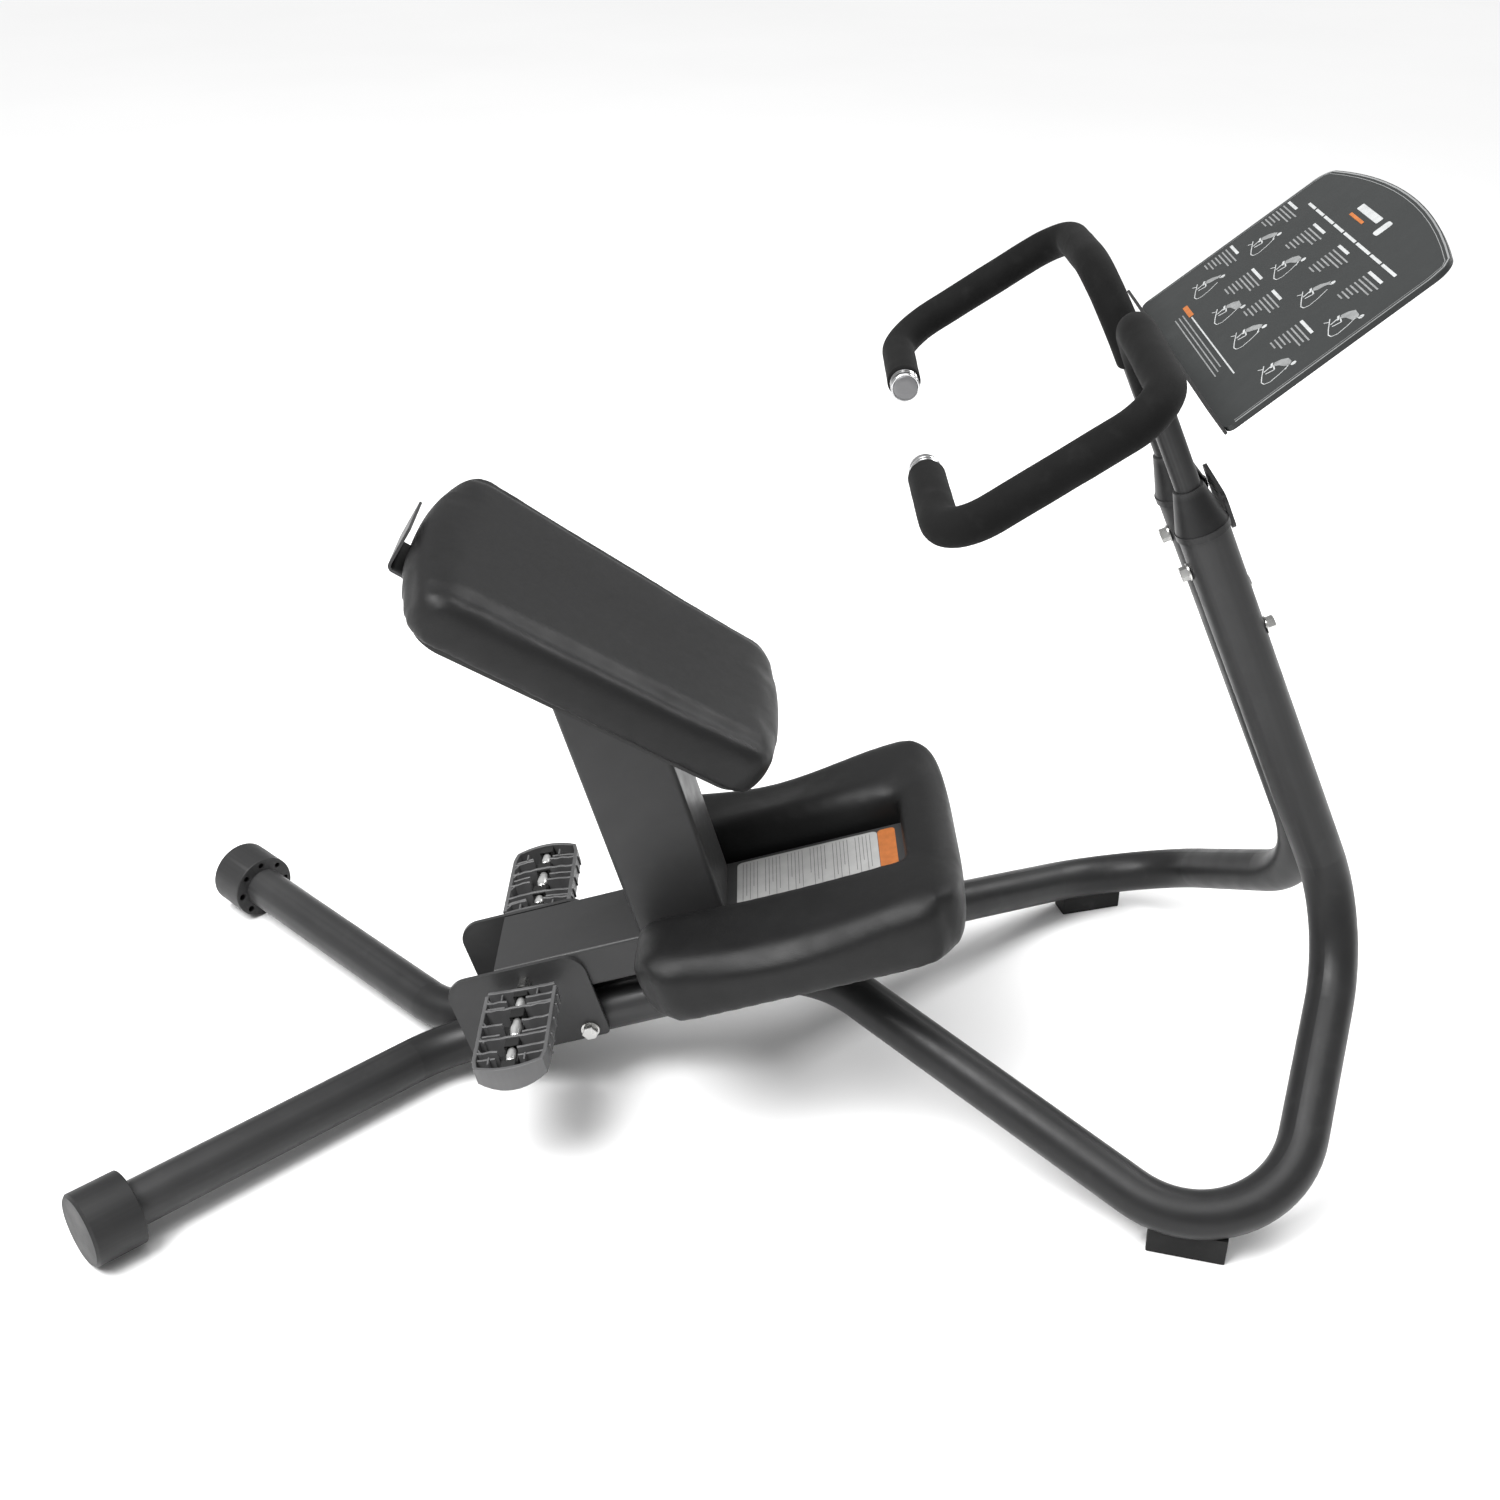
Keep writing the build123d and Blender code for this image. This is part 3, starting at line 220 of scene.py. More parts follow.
# ---------------------------------------------------------------- building helpers
def piece(name, mesh, body, look, smooth=True):
    """Links a mesh as a piece that rides on a body and takes one look."""
    mesh.materials.clear()
    mesh.materials.append(look)
    obj = bpy.data.objects.new(name, mesh)
    bpy.context.scene.collection.objects.link(obj)
    for polygon in mesh.polygons:
        polygon.use_smooth = smooth
    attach(obj, body)
    return obj


def mesh_of(name, points, faces):
    """Mesh from points and faces."""
    mesh = bpy.data.meshes.new(name)
    mesh.from_pydata([tuple(p) for p in points], [], faces)
    mesh.validate()
    mesh.update()
    return mesh


def outward(mesh):
    """Turns every face of a mesh outward."""
    bm = bmesh.new()
    bm.from_mesh(mesh)
    bmesh.ops.recalc_face_normals(bm, faces=bm.faces)
    bm.to_mesh(mesh)
    bm.free()
    return mesh


def evaluated(obj):
    """The object's mesh with its modifiers applied."""
    graph = bpy.context.evaluated_depsgraph_get()
    return bpy.data.meshes.new_from_object(obj.evaluated_get(graph), depsgraph=graph)


def with_modifier(obj, kind, **settings):
    """Applies one modifier to an object's mesh at once."""
    modifier = obj.modifiers.new(kind, kind)
    for key, value in settings.items():
        setattr(modifier, key, value)
    mesh = evaluated(obj)
    obj.modifiers.clear()
    obj.data = mesh


# ---------------------------------------------------------------- cushions
SIM_FRAMES = 20
VOXEL = 0.0055
WELD = 1e-5


def inflate(obj, pinned, cap):
    """Swells a skin as pressurised cloth; no point moves by more than the cap."""
    start = [vertex.co.copy() for vertex in obj.data.vertices]
    group = obj.vertex_groups.new(name="pinned")
    group.add([v.index for v in obj.data.vertices if pinned(v.co)], 1.0, "REPLACE")
    cloth = obj.modifiers.new("cloth", "CLOTH")
    cloth.settings.quality = 5
    cloth.settings.use_pressure = True
    cloth.settings.uniform_pressure_force = 4.0
    cloth.settings.effector_weights.gravity = 0.0
    cloth.settings.vertex_group_mass = "pinned"
    cloth.settings.tension_stiffness = 15.0
    cloth.settings.compression_stiffness = 15.0
    cloth.settings.bending_stiffness = 1.5
    cloth.point_cache.frame_start = 1
    cloth.point_cache.frame_end = SIM_FRAMES
    for number in range(1, SIM_FRAMES + 1):
        bpy.context.scene.frame_set(number)
    swollen = evaluated(obj)
    obj.modifiers.clear()
    bpy.context.scene.frame_set(1)
    for vertex, first, last in zip(obj.data.vertices, start, swollen.vertices):
        move = last.co - first
        if move.length > cap:
            move *= cap / move.length
        vertex.co = first + move
    obj.vertex_groups.clear()


def cushion(name, nodes, shape, pinned, cap, after=None):
    """Grows a crowned vinyl pad from the first CAD node: remesh, shape, inflate, then seam."""
    source = NODES[nodes[0]].data.copy()
    obj = bpy.data.objects.new(name, source)
    bpy.context.scene.collection.objects.link(obj)
    bm = bmesh.new()
    bm.from_mesh(source)
    bmesh.ops.remove_doubles(bm, verts=bm.verts, dist=WELD)
    bm.to_mesh(source)
    bm.free()
    with_modifier(obj, "REMESH", mode="VOXEL", voxel_size=VOXEL)
    with_modifier(obj, "SMOOTH", factor=0.5, iterations=5)
    for vertex in obj.data.vertices:
        vertex.co = shape(vertex.co)
    inflate(obj, pinned, cap)
    with_modifier(obj, "SMOOTH", factor=0.5, iterations=12)
    if after:
        for vertex in obj.data.vertices:
            vertex.co = after(vertex.co)
    with_modifier(obj, "SUBSURF", levels=1, render_levels=1)
    mesh = obj.data
    bpy.data.objects.remove(obj)
    pad = piece(name, mesh, "carriage", VINYL)
    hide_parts(*nodes)
    return pad


SEAT_HALF_THICK = 0.024
SEAT_HALF_LENGTH = 0.212
SEAT_REAR_HALF, SEAT_FRONT_HALF = 0.163, 0.131
SEAT_CROWN, SEAT_REAR_DROP, SEAT_FRONT_DROP = 0.0030, 0.003, 0.004
SEAT_SKIRT = 0.009                    # how far the skin hangs past the cushion's underside
SEAT_GROW = (1.006, 1.002)            # along and across, against the shrinkage of smoothing
SEAT_TUCK = (0.014, 0.030)            # along and across, under the board's edge
SEAT_PINNED_BELOW = -SEAT_HALF_THICK - 0.003
SEAT_CAP = 0.0030
SEAM_INSET, SEAM_WIDTH, SEAM_DEPTH = 0.024, 0.0085, 0.0034


def seat_coords(point):
    """Along the seat, across, and up from the cushion's middle."""
    d = point - SEAT_AT
    return d.dot(SEAT_ALONG), d.y, d.dot(SEAT_UP)


def seat_point(a, y, h):
    return SEAT_AT + SEAT_ALONG * a + ACROSS * y + SEAT_UP * h


def seat_half_width(a):
    """Half width of the seat: wider at the rear."""
    return SEAT_REAR_HALF + (SEAT_FRONT_HALF - SEAT_REAR_HALF) * (a + SEAT_HALF_LENGTH) / (
        2 * SEAT_HALF_LENGTH)


def seat_shape(point):
    """Crowns the top, draws the ends down, and carries the skin down past the board's edge."""
    a, y, h = seat_coords(point)
    up = (h + SEAT_HALF_THICK) / (2 * SEAT_HALF_THICK)
    low = 1 - smooth_step(0.0, 0.5, up)
    top = smooth_step(0.4, 1.0, up)
    rear_drop = SEAT_REAR_DROP * (1 - smooth_step(-0.214, -0.160, a)) * top
    front_drop = SEAT_FRONT_DROP * smooth_step(0.170, 0.214, a) * top
    rise = SEAT_CROWN * (1 - (y / seat_half_width(a)) ** 2) * smooth_step(0.6, 1.0, up)
    return seat_point(a * SEAT_GROW[0] * (1 - SEAT_TUCK[0] * low),
                      y * SEAT_GROW[1] * (1 - SEAT_TUCK[1] * low),
                      h + rise - rear_drop - front_drop - SEAT_SKIRT * low)


def seat_seam(point):
    """Soft valley inside each long edge, which leaves a rolled bolster along the sides."""
    a, y, h = seat_coords(point)
    here = smooth_step(-0.200, -0.165, a) * (1 - smooth_step(0.170, 0.204, a))
    across = (abs(y) - (seat_half_width(a) - SEAM_INSET)) / SEAM_WIDTH
    dip = SEAM_DEPTH * here * exp(-across * across) * smooth_step(0.008, 0.020, h)
    return seat_point(a, y, h - dip)


seat_pad = cushion("seat_pad", ("seat_cushion",), seat_shape,
                   lambda p: seat_coords(p)[2] < SEAT_PINNED_BELOW, SEAT_CAP, seat_seam)

KNEE_FROM, KNEE_TO, KNEE_HALF = 0.097, 0.450, 0.184
KNEE_LOW, KNEE_HIGH = 0.077, 0.137
SLOT_HALF, SLOT_END = 0.064, 0.399
FRONT_CORNER, REAR_CORNER = (0.080, 0.45), (0.050, 0.50)    # radius and strength of the rounding
KNEE_HOLLOW, KNEE_RISE = 0.0110, 0.0070
EDGE_ROLL, EDGE_REACH = 0.0080, 0.036
SLOT_ROLL, SLOT_REACH = 0.0030, 0.014
KNEE_SKIRT, KNEE_TUCK = 0.0108, 0.020
KNEE_GROW = (1.004, 1.002)
KNEE_PINNED_BELOW = KNEE_LOW - 0.002
KNEE_CAP = 0.004


def deck_coords(point):
    d = point - PIVOT
    return d.dot(ALONG), d.y, d.dot(SQUARE)


def rounder(x, y, x_end, y_end, radius, strength):
    """Pulls a point near an outer corner in, so that the outline turns on a wider radius."""
    dx, dy = x - (x_end - radius), y - (y_end - radius)
    if dx <= 0 or dy <= 0:
        return x, y
    factor = 1 - strength * (1 - max(dx, dy) / sqrt(dx * dx + dy * dy))
    return x - dx * (1 - factor), y - dy * (1 - factor)


def knee_shape(point):
    """A broad hollow for each shin between raised ends, with rounded outer corners and edges."""
    s, y, d = deck_coords(point)
    side = 1 if y > 0 else -1
    s, wide = rounder(s, abs(y), KNEE_TO, KNEE_HALF, *FRONT_CORNER)
    back, wide = rounder(-s, wide, -KNEE_FROM, KNEE_HALF, *REAR_CORNER)
    s = -back
    height = (d - KNEE_LOW) / (KNEE_HIGH - KNEE_LOW)
    up = smooth_step(0.25, 1.0, height)
    low = 1 - smooth_step(0.0, 0.4, height)
    t = min(1.0, max(0.0, (s - KNEE_FROM) / (KNEE_TO - KNEE_FROM)))
    to_side = smooth_step(SLOT_HALF, KNEE_HALF - 0.030, wide)
    dished = sin(pi * t ** 0.85) ** 2
    hollow = -KNEE_HOLLOW * to_side * dished + KNEE_RISE * to_side * (1 - dished)
    edge = min(s - KNEE_FROM, KNEE_TO - s, KNEE_HALF - wide)
    roll = -EDGE_ROLL * (1 - smooth_step(0.0, EDGE_REACH, edge)) ** 2
    slot_edge = abs(wide - SLOT_HALF) if s < SLOT_END else 1.0
    slot_roll = -SLOT_ROLL * (1 - smooth_step(0.0, SLOT_REACH, slot_edge))
    middle = (KNEE_FROM + KNEE_TO) / 2
    tuck = 1 - KNEE_TUCK * low
    return deck(middle + (s - middle) * KNEE_GROW[0] * tuck, side * wide * KNEE_GROW[1] * tuck,
                d + up * (hollow + roll + slot_roll) - KNEE_SKIRT * low)


knee_pad = cushion("knee_pad", ("knee_cushion", "knee_board"), knee_shape,
                   lambda p: deck_coords(p)[2] < KNEE_PINNED_BELOW, KNEE_CAP)

# ---------------------------------------------------------------- foam grips
BAR_POINTS = ((0.361, 0.047, 0.912), (0.363, 0.278, 0.897), (0.185, 0.282, 0.779),
              (0.183, 0.117, 0.779))
BAR_RADII = (0.082, 0.048, 0.047)
MAST_CORNER = (0.677, 0.050, 0.227)
FOAM_FROM_Z = 0.828
BAR_END = 0.015
FOAM_R, BARE_R, FOAM_ROUND = 0.0173, 0.01272, 0.004
FOAM_UNEVEN, FOAM_UNEVEN_SCALE = 0.00025, 45.0
ROUND_STEPS = 4


def mast_point(side, z):
    """Point of the mast's axis at a height."""
    t = (z - MAST_CORNER[2]) / (BAR_POINTS[0][2] - MAST_CORNER[2])
    return Vector((MAST_CORNER[0] + (BAR_POINTS[0][0] - MAST_CORNER[0]) * t,
                   side * (MAST_CORNER[1] + (BAR_POINTS[0][1] - MAST_CORNER[1]) * t), z))


def bent_path(corners, radii, step=0.006):
    """Points along straight runs joined by tangent arcs."""
    path, start = [], corners[0]

    def run(a, b):
        count = max(1, int((b - a).length / step))
        path.extend(a + (b - a) * (i / count) for i in range(count))

    for before, corner, after, radius in zip(corners, corners[1:], corners[2:], radii):
        back, ahead = (before - corner).normalized(), (after - corner).normalized()
        half = back.angle(ahead) / 2
        reach = radius / tan(half)
        first, last = corner + back * reach, corner + ahead * reach
        centre = corner + (back + ahead).normalized() * (radius / sin(half))
        run(start, first)
        swing = pi - 2 * half
        count = max(4, int(radius * swing / step))
        a, b = first - centre, last - centre
        for i in range(count):
            t = i / count
            path.append(centre + (a * sin((1 - t) * swing) + b * sin(t * swing)) / sin(swing))
        start = last
    run(start, corners[-1])
    path.append(corners[-1])
    return path


def sleeve(name, path, outer, inner, rounding, sides=36):
    """A soft sleeve along a path, closed, with rounded ends and a slightly uneven skin."""
    lengths = [0.0]
    for a, b in zip(path, path[1:]):
        lengths.append(lengths[-1] + (b - a).length)
    total = lengths[-1]
    cuts = [rounding * (1 - cos(pi / 2 * i / ROUND_STEPS)) for i in range(ROUND_STEPS + 1)]

    def at(length):
        for i in range(len(path) - 1):
            if length <= lengths[i + 1] or i == len(path) - 2:
                t = (length - lengths[i]) / (lengths[i + 1] - lengths[i])
                return path[i].lerp(path[i + 1], t)
        return path[-1]

    spots = cuts + [length for length in lengths if rounding < length < total - rounding]
    spots += [total - cut for cut in reversed(cuts)]
    stations = []
    for spot in spots:
        near = min(spot, total - spot)
        drop = 0.0
        if near < rounding:
            drop = rounding - sqrt(max(0.0, rounding ** 2 - (rounding - near) ** 2))
        stations.append((at(spot), outer - drop))
    tangents = []
    for i in range(len(stations)):
        a = stations[max(0, i - 1)][0]
        b = stations[min(len(stations) - 1, i + 1)][0]
        tangents.append((b - a).normalized())
    normal = tangents[0].cross(OFF_AXIS).normalized()
    rings = []
    for (centre, radius), tangent in zip(stations, tangents):
        normal = (normal - tangent * normal.dot(tangent)).normalized()
        rings.append((centre, radius, normal.copy(), tangent.cross(normal)))
    loops = [(c, r, n, b, True) for c, r, n, b in rings]
    loops += [(c, inner, n, b, False) for c, r, n, b in reversed(rings)]
    points, faces = [], []
    for centre, radius, across, up, skin in loops:
        for k in range(sides):
            turn = 2 * pi * k / sides
            out = across * cos(turn) + up * sin(turn)
            spot = centre + out * radius
            if skin:
                spot = spot + out * FOAM_UNEVEN * noise.noise(spot * FOAM_UNEVEN_SCALE)
            points.append(spot)
    rows = len(loops)
    for i in range(rows):
        j = (i + 1) % rows
        for k in range(sides):
            m = (k + 1) % sides
            faces.append((i * sides + k, i * sides + m, j * sides + m, j * sides + k))
    return outward(mesh_of(name, points, faces))


for name, side in SIDES.items():
    corners = [mast_point(side, FOAM_FROM_Z)]
    corners += [Vector((x, side * y, z)) for x, y, z in BAR_POINTS]
    corners[-1] = corners[-1] - (corners[-1] - corners[-2]).normalized() * BAR_END
    foam_mesh = sleeve(f"foam_{name}", bent_path(corners, BAR_RADII), FOAM_R, BARE_R, FOAM_ROUND)
    foam = piece(f"foam_{name}", foam_mesh, "base", FOAM)
    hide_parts(f"grip_foam_{name}")


def turned(start, along, profile, sides):
    """Rings of points round an axis, one for each (distance, radius) pair."""
    across = along.cross(OFF_AXIS).normalized()
    up = along.cross(across).normalized()
    points = []
    for distance, radius in profile:
        for k in range(sides):
            turn = 2 * pi * k / sides
            points.append(start + along * distance + (across * cos(turn) + up * sin(turn)) * radius)
    return points


def lathe(name, start, along, profile, sides=48):
    """A closed turned form: (distance, radius) pairs swept round an axis, ends on the axis."""
    points = [start + along * profile[0][0]] + turned(start, along, profile[1:-1], sides)
    points.append(start + along * profile[-1][0])
    faces, rings, last = [], len(profile) - 2, len(points) - 1
    for k in range(sides):
        m = (k + 1) % sides
        faces.append((0, 1 + m, 1 + k))
        faces.append((last, 1 + (rings - 1) * sides + k, 1 + (rings - 1) * sides + m))
        for i in range(rings - 1):
            a, b = 1 + i * sides, 1 + (i + 1) * sides
            faces.append((a + k, a + m, b + m, b + k))
    return outward(mesh_of(name, points, faces))


def ring_lathe(name, start, along, profile, sides=32):
    """A closed ring turned round an axis from a closed loop of (distance, radius) pairs."""
    faces, rows = [], len(profile)
    for i in range(rows):
        for k in range(sides):
            m, j = (k + 1) % sides, (i + 1) % rows
            faces.append((i * sides + k, i * sides + m, j * sides + m, j * sides + k))
    return outward(mesh_of(name, turned(start, along, profile, sides), faces))


# ---------------------------------------------------------------- chrome bar ends
RING_R, RING_GROOVE_R, RING_GROOVES = 0.0150, 0.0144, (0.0040, 0.0090)

RING_PROFILE = [(0.0002, 0), (0.0002, 0.0140), (0.0010, RING_R)]
for groove in RING_GROOVES:
    RING_PROFILE += [(groove, RING_R), (groove + 0.0004, RING_GROOVE_R),
                     (groove + 0.0012, RING_GROOVE_R), (groove + 0.0016, RING_R)]
RING_PROFILE += [(0.0168, RING_R), (0.0178, 0.0141), (0.0178, 0.0132), (0.0172, 0.0129), (0.0172, 0)]
FACE_PROFILE = ((0.0165, 0), (0.0165, 0.0126), (0.0176, 0.0126), (0.0180, 0.0120), (0.0180, 0.0060),
                (0.0179, 0))

for name, side in SIDES.items():
    knee, tip = (Vector((x, side * y, z)) for x, y, z in BAR_POINTS[2:])
    out = (tip - knee).normalized()
    foam_end = tip - out * BAR_END
    ring = piece(f"end_ring_{name}", lathe(f"end_ring_{name}", foam_end, out, RING_PROFILE), "base",
                 CHROME)
    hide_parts(f"bar_end_{name}")
    piece(f"end_face_{name}", lathe(f"end_face_{name}", foam_end, out, FACE_PROFILE), "base",
          CAP_FACE)

# ---------------------------------------------------------------- foot pegs
PEG_SLOPE = radians(12.0)
ROD = deck(-0.050, 0.0, 0.082)
PEG_ALONG = Vector((cos(PEG_SLOPE), 0, sin(PEG_SLOPE)))
PEG_SQUARE = Vector((-sin(PEG_SLOPE), 0, cos(PEG_SLOPE)))
PEG_INNER, PEG_LENGTH, PEG_BULGE, PEG_HALF = 0.076, 0.126, 0.012, 0.041
PEG_TOP, PEG_SIDE_LOW, PEG_BELLY, TREAD_FALL = 0.008, -0.011, -0.021, 0.0015
WALL, CHAMFER, ROD_CLEAR, GAP = 0.0022, 0.0006, 0.0047, 0.001
EDGE = PEG_HALF - WALL
INSIDE = EDGE - GAP

# places out from the frame: windows over the rod, wall stops, and each kind of rib
WINDOWS = ((0.014, 0.031), (0.050, 0.080), (0.099, 0.120))
WALL_STOPS = (WALL + 0.003, 0.030, 0.060, 0.090, 0.114)
FULL_RIBS = (0.034, 0.084)
HALF_RIBS = (0.0185, 0.058, 0.103)
LOW_RIBS = (0.0275, 0.0745, 0.1135)
BRACES = (0.0205, 0.060, 0.086, 0.105)
SPURS = ((-0.021, 0.0115), (0.019, 0.0090), (-0.023, 0.117), (0.017, 0.118))

# places across the peg
END_STOPS = (-0.030, -0.022, -0.014, -0.007, 0.0, 0.007, 0.014, 0.022, 0.030)
FLOOR_STOPS = (0.0052, 0.012, 0.020, 0.028, 0.0365)
CORNER = 0.003
RIM_SLOPED_TO = 0.038
HUB_HALF = 0.0076

FLOOR_INSET, FLOOR_THICK = 0.003, 0.0025
RIB_STEP, RIB_BOW, RIB_JOG, NOTCH = 0.009, 0.0035, 0.0005, 0.0007
BUSH_BORE, BUSH_END, BUSH_NECK = 0.0044, 0.0048, 0.0050
BUSH_SWELLS = (0.0058, 0.0066, 0.0058)


def belly(a):
    """Height of the peg's underside across its width."""
    return PEG_BELLY + (PEG_SIDE_LOW - PEG_BELLY) * (a / PEG_HALF) ** 2


def crown(a):
    """Height of the peg's tread across its width."""
    return PEG_TOP - TREAD_FALL * (a / PEG_HALF) ** 2


def end_line(a, inset=0.0):
    """How far out the rounded outer end reaches at a place across the peg."""
    return PEG_LENGTH - inset + PEG_BULGE * (1 - (a / PEG_HALF) ** 2)


# Heights of a wall's foot and top: each takes a place across the peg and a step along the wall.
def underside(a, i):
    return belly(a)


def rib_foot(a, i):
    return belly(a) + GAP


def rim_foot(a, i):
    return belly(a) if abs(a) < RIM_SLOPED_TO else belly(PEG_HALF)


def notched(a, i):
    """The tread, with every other step a little lower."""
    return crown(a) - (NOTCH if i % 2 else 0.0)


def below_tread(drop):
    return lambda a, i: crown(a) - drop


def level(height):
    return lambda a, i: height


class Peg:
    """One peg's mesh, in its own axes: along the machine, outward from the frame, and up."""

    def __init__(self, side):
        self.side, self.points, self.faces = side, [], []

    def at(self, a, t, h):
        self.points.append(ROD + PEG_ALONG * a + ACROSS * (self.side * (PEG_INNER + t)) +
                           PEG_SQUARE * h)
        return len(self.points) - 1

    def strip(self, path, half, low, high):
        """A wall along an open line in plan, with chamfered top edges."""
        rows, last = [], len(path) - 1
        for i, (a, t) in enumerate(path):
            before, after = path[max(0, i - 1)], path[min(last, i + 1)]
            da, dt = after[0] - before[0], after[1] - before[1]
            length = sqrt(da * da + dt * dt)
            na, nt = -dt / length, da / length
            foot, top = low(a, i), high(a, i)
            section = ((-half, foot), (-half, top - CHAMFER), (-half + CHAMFER, top),
                       (half - CHAMFER, top), (half, top - CHAMFER), (half, foot))
            rows.append([self.at(a + na * offset, t + nt * offset, height)
                         for offset, height in section])
        for first, second in zip(rows, rows[1:]):
            for k in range(len(first)):
                m = (k + 1) % len(first)
                self.faces.append((first[k], first[m], second[m], second[k]))
        self.faces.append(tuple(rows[0]))
        self.faces.append(tuple(reversed(rows[-1])))

    def slab(self, outline, low):
        """A closed plate over a plan outline, at a height that depends on the place across."""
        bottom = [self.at(a, t, low(a)) for a, t in outline]
        top = [self.at(a, t, low(a) + FLOOR_THICK) for a, t in outline]
        for i in range(len(outline)):
            m = (i + 1) % len(outline)
            self.faces.append((bottom[i], bottom[m], top[m], top[i]))
        self.faces.append(tuple(reversed(bottom)))
        self.faces.append(tuple(top))

    def build(self, name):
        return outward(mesh_of(name, self.points, self.faces))


def rib_line(t, a_from, a_to, seed):
    """A rib's line in plan: short steps with slight jogs, like moulded grip teeth."""
    count = max(2, int(abs(a_to - a_from) / RIB_STEP) + 1)
    line = []
    for i in range(count + 1):
        a = a_from + (a_to - a_from) * i / count
        line.append((a, t - RIB_BOW * (a / PEG_HALF) ** 2 + RIB_JOG * ((i + seed) % 2)))
    return line


def peg_walls(peg):
    """The rim along both sides and the rounded outer end, and the inner end, which spans the rod."""
    corner = end_line(EDGE - CORNER, WALL)
    rim = [(-EDGE, t) for t in WALL_STOPS] + [(-EDGE + CORNER, corner)]
    rim += [(a, end_line(a, WALL)) for a in END_STOPS]
    rim += [(EDGE - CORNER, corner)] + [(EDGE, t) for t in reversed(WALL_STOPS)]
    peg.strip(rim, WALL, rim_foot, below_tread(0.0))
    inner = WALL + GAP
    for a_from, a_to in ((-INSIDE, -ROD_CLEAR), (ROD_CLEAR, INSIDE)):
        peg.strip(rib_line(inner, a_from, a_to, 0), WALL, underside, below_tread(0.0))
    peg.strip([(-0.0085, inner), (0.0085, inner)], WALL, level(ROD_CLEAR), level(PEG_TOP))


def peg_ribs(peg):
    """Ribs across the peg, braces and spurs between them, and the teeth outside one edge."""
    for number, t in enumerate(FULL_RIBS):
        for a_from, a_to in ((-INSIDE, -HUB_HALF), (HUB_HALF, INSIDE)):
            peg.strip(rib_line(t, a_from, a_to, number), 0.0016, rib_foot, notched)
        peg.strip([(-0.0090, t), (0.0090, t)], 0.0016, level(ROD_CLEAR), level(PEG_TOP))
    for number, t in enumerate(HALF_RIBS):
        peg.strip(rib_line(t + 0.002, -INSIDE, -0.0140, number), 0.0014, rib_foot, notched)
        peg.strip(rib_line(t, HUB_HALF, INSIDE, number + 1), 0.0015, rib_foot, notched)
    for number, t in enumerate(LOW_RIBS):
        peg.strip(rib_line(t, -INSIDE, -0.0160, number), 0.0012, rib_foot, below_tread(0.003))
        peg.strip(rib_line(t - 0.0005, 0.0090, INSIDE, number), 0.0012, rib_foot,
                  below_tread(0.003))
    for t in BRACES:
        peg.strip([(-INSIDE, t - 0.0105), (-INSIDE + 0.0065, t)], 0.0009, rib_foot,
                  below_tread(0.0008))
    for a, t in SPURS:
        peg.strip([(a, t - 0.0055), (a, t + 0.0055)], 0.0010, rib_foot, below_tread(0.0015))
    for t in sorted(FULL_RIBS + HALF_RIBS):
        peg.strip([(EDGE + GAP, t), (EDGE + 0.0042, t)], 0.0011, level(-0.009), level(0.0035))


def peg_well(well):
    """The dished floor, the walls beside the rod, and the hub between the windows."""
    for way in (-1, 1):
        for a, b in zip(FLOOR_STOPS, FLOOR_STOPS[1:]):
            well.slab([(way * a, FLOOR_INSET), (way * b, FLOOR_INSET),
                       (way * b, end_line(b, FLOOR_INSET)), (way * a, end_line(a, FLOOR_INSET))],
                      belly)
    reach, half = end_line(0, FLOOR_INSET + GAP), 0.0054
    well.slab([(-half, FLOOR_INSET), (half, FLOOR_INSET), (half, reach), (-half, reach)],
              lambda a: PEG_BELLY)
    for way in (-1, 1):
        well.strip([(way * 0.0074, FLOOR_INSET), (way * 0.0074, PEG_LENGTH + 0.008)], 0.0010,
                   rib_foot, level(0.0010))
    breaks = [0.0] + [place for window in WINDOWS for place in window] + [PEG_LENGTH + 0.009]
    for t0, t1 in zip(breaks[0::2], breaks[1::2]):
        well.strip([(0, t0 + GAP), (0, t1 - GAP)], 0.0078, level(ROD_CLEAR), level(0.0060))
        for way in (-1, 1):
            well.strip([(way * 0.0066, t0 + GAP), (way * 0.0066, t1 - GAP)], 0.0014, rib_foot,
                       level(0.0055))


def bush_mesh(name, side, window, swell):
    """A barrel on the rod, seen through one window, in a metal lighter than the rod's zinc: a
    painted highlight on the shaded rod.
    """
    length = window[1] - window[0] - 2 * GAP
    profile = ((0.0, BUSH_BORE), (0.0, BUSH_END), (0.15, BUSH_NECK), (0.35, swell - 0.0005),
               (0.5, swell), (0.65, swell - 0.0005), (0.85, BUSH_NECK), (1.0, BUSH_END),
               (1.0, BUSH_BORE))
    start = ROD + ACROSS * (side * (PEG_INNER + window[0] + GAP))
    return ring_lathe(name, start, ACROSS * side, [(x * length, radius) for x, radius in profile])


for name, side in SIDES.items():
    peg, well = Peg(side), Peg(side)
    peg_walls(peg)
    peg_ribs(peg)
    peg_well(well)
    # The well takes the darker plastic: painted shade inside the peg.
    piece(f"peg_well_{name}", well.build(f"peg_well_{name}"), f"peg_{name}",
          PEG_SHADE, smooth=False)
    for number, (window, swell) in enumerate(zip(WINDOWS, BUSH_SWELLS)):
        bush_name = f"peg_bush_{name}_{number}"
        piece(bush_name, bush_mesh(bush_name, side, window, swell), f"peg_{name}",
              ROD_HIGHLIGHT)
    tread_piece = piece(f"peg_{name}", peg.build(f"peg_{name}"), f"peg_{name}",
                        PEG_PLASTIC, smooth=False)
    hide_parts(f"foot_peg_{name}")

# ---------------------------------------------------------------- printed marks
PRINT_THICK = 0.00018


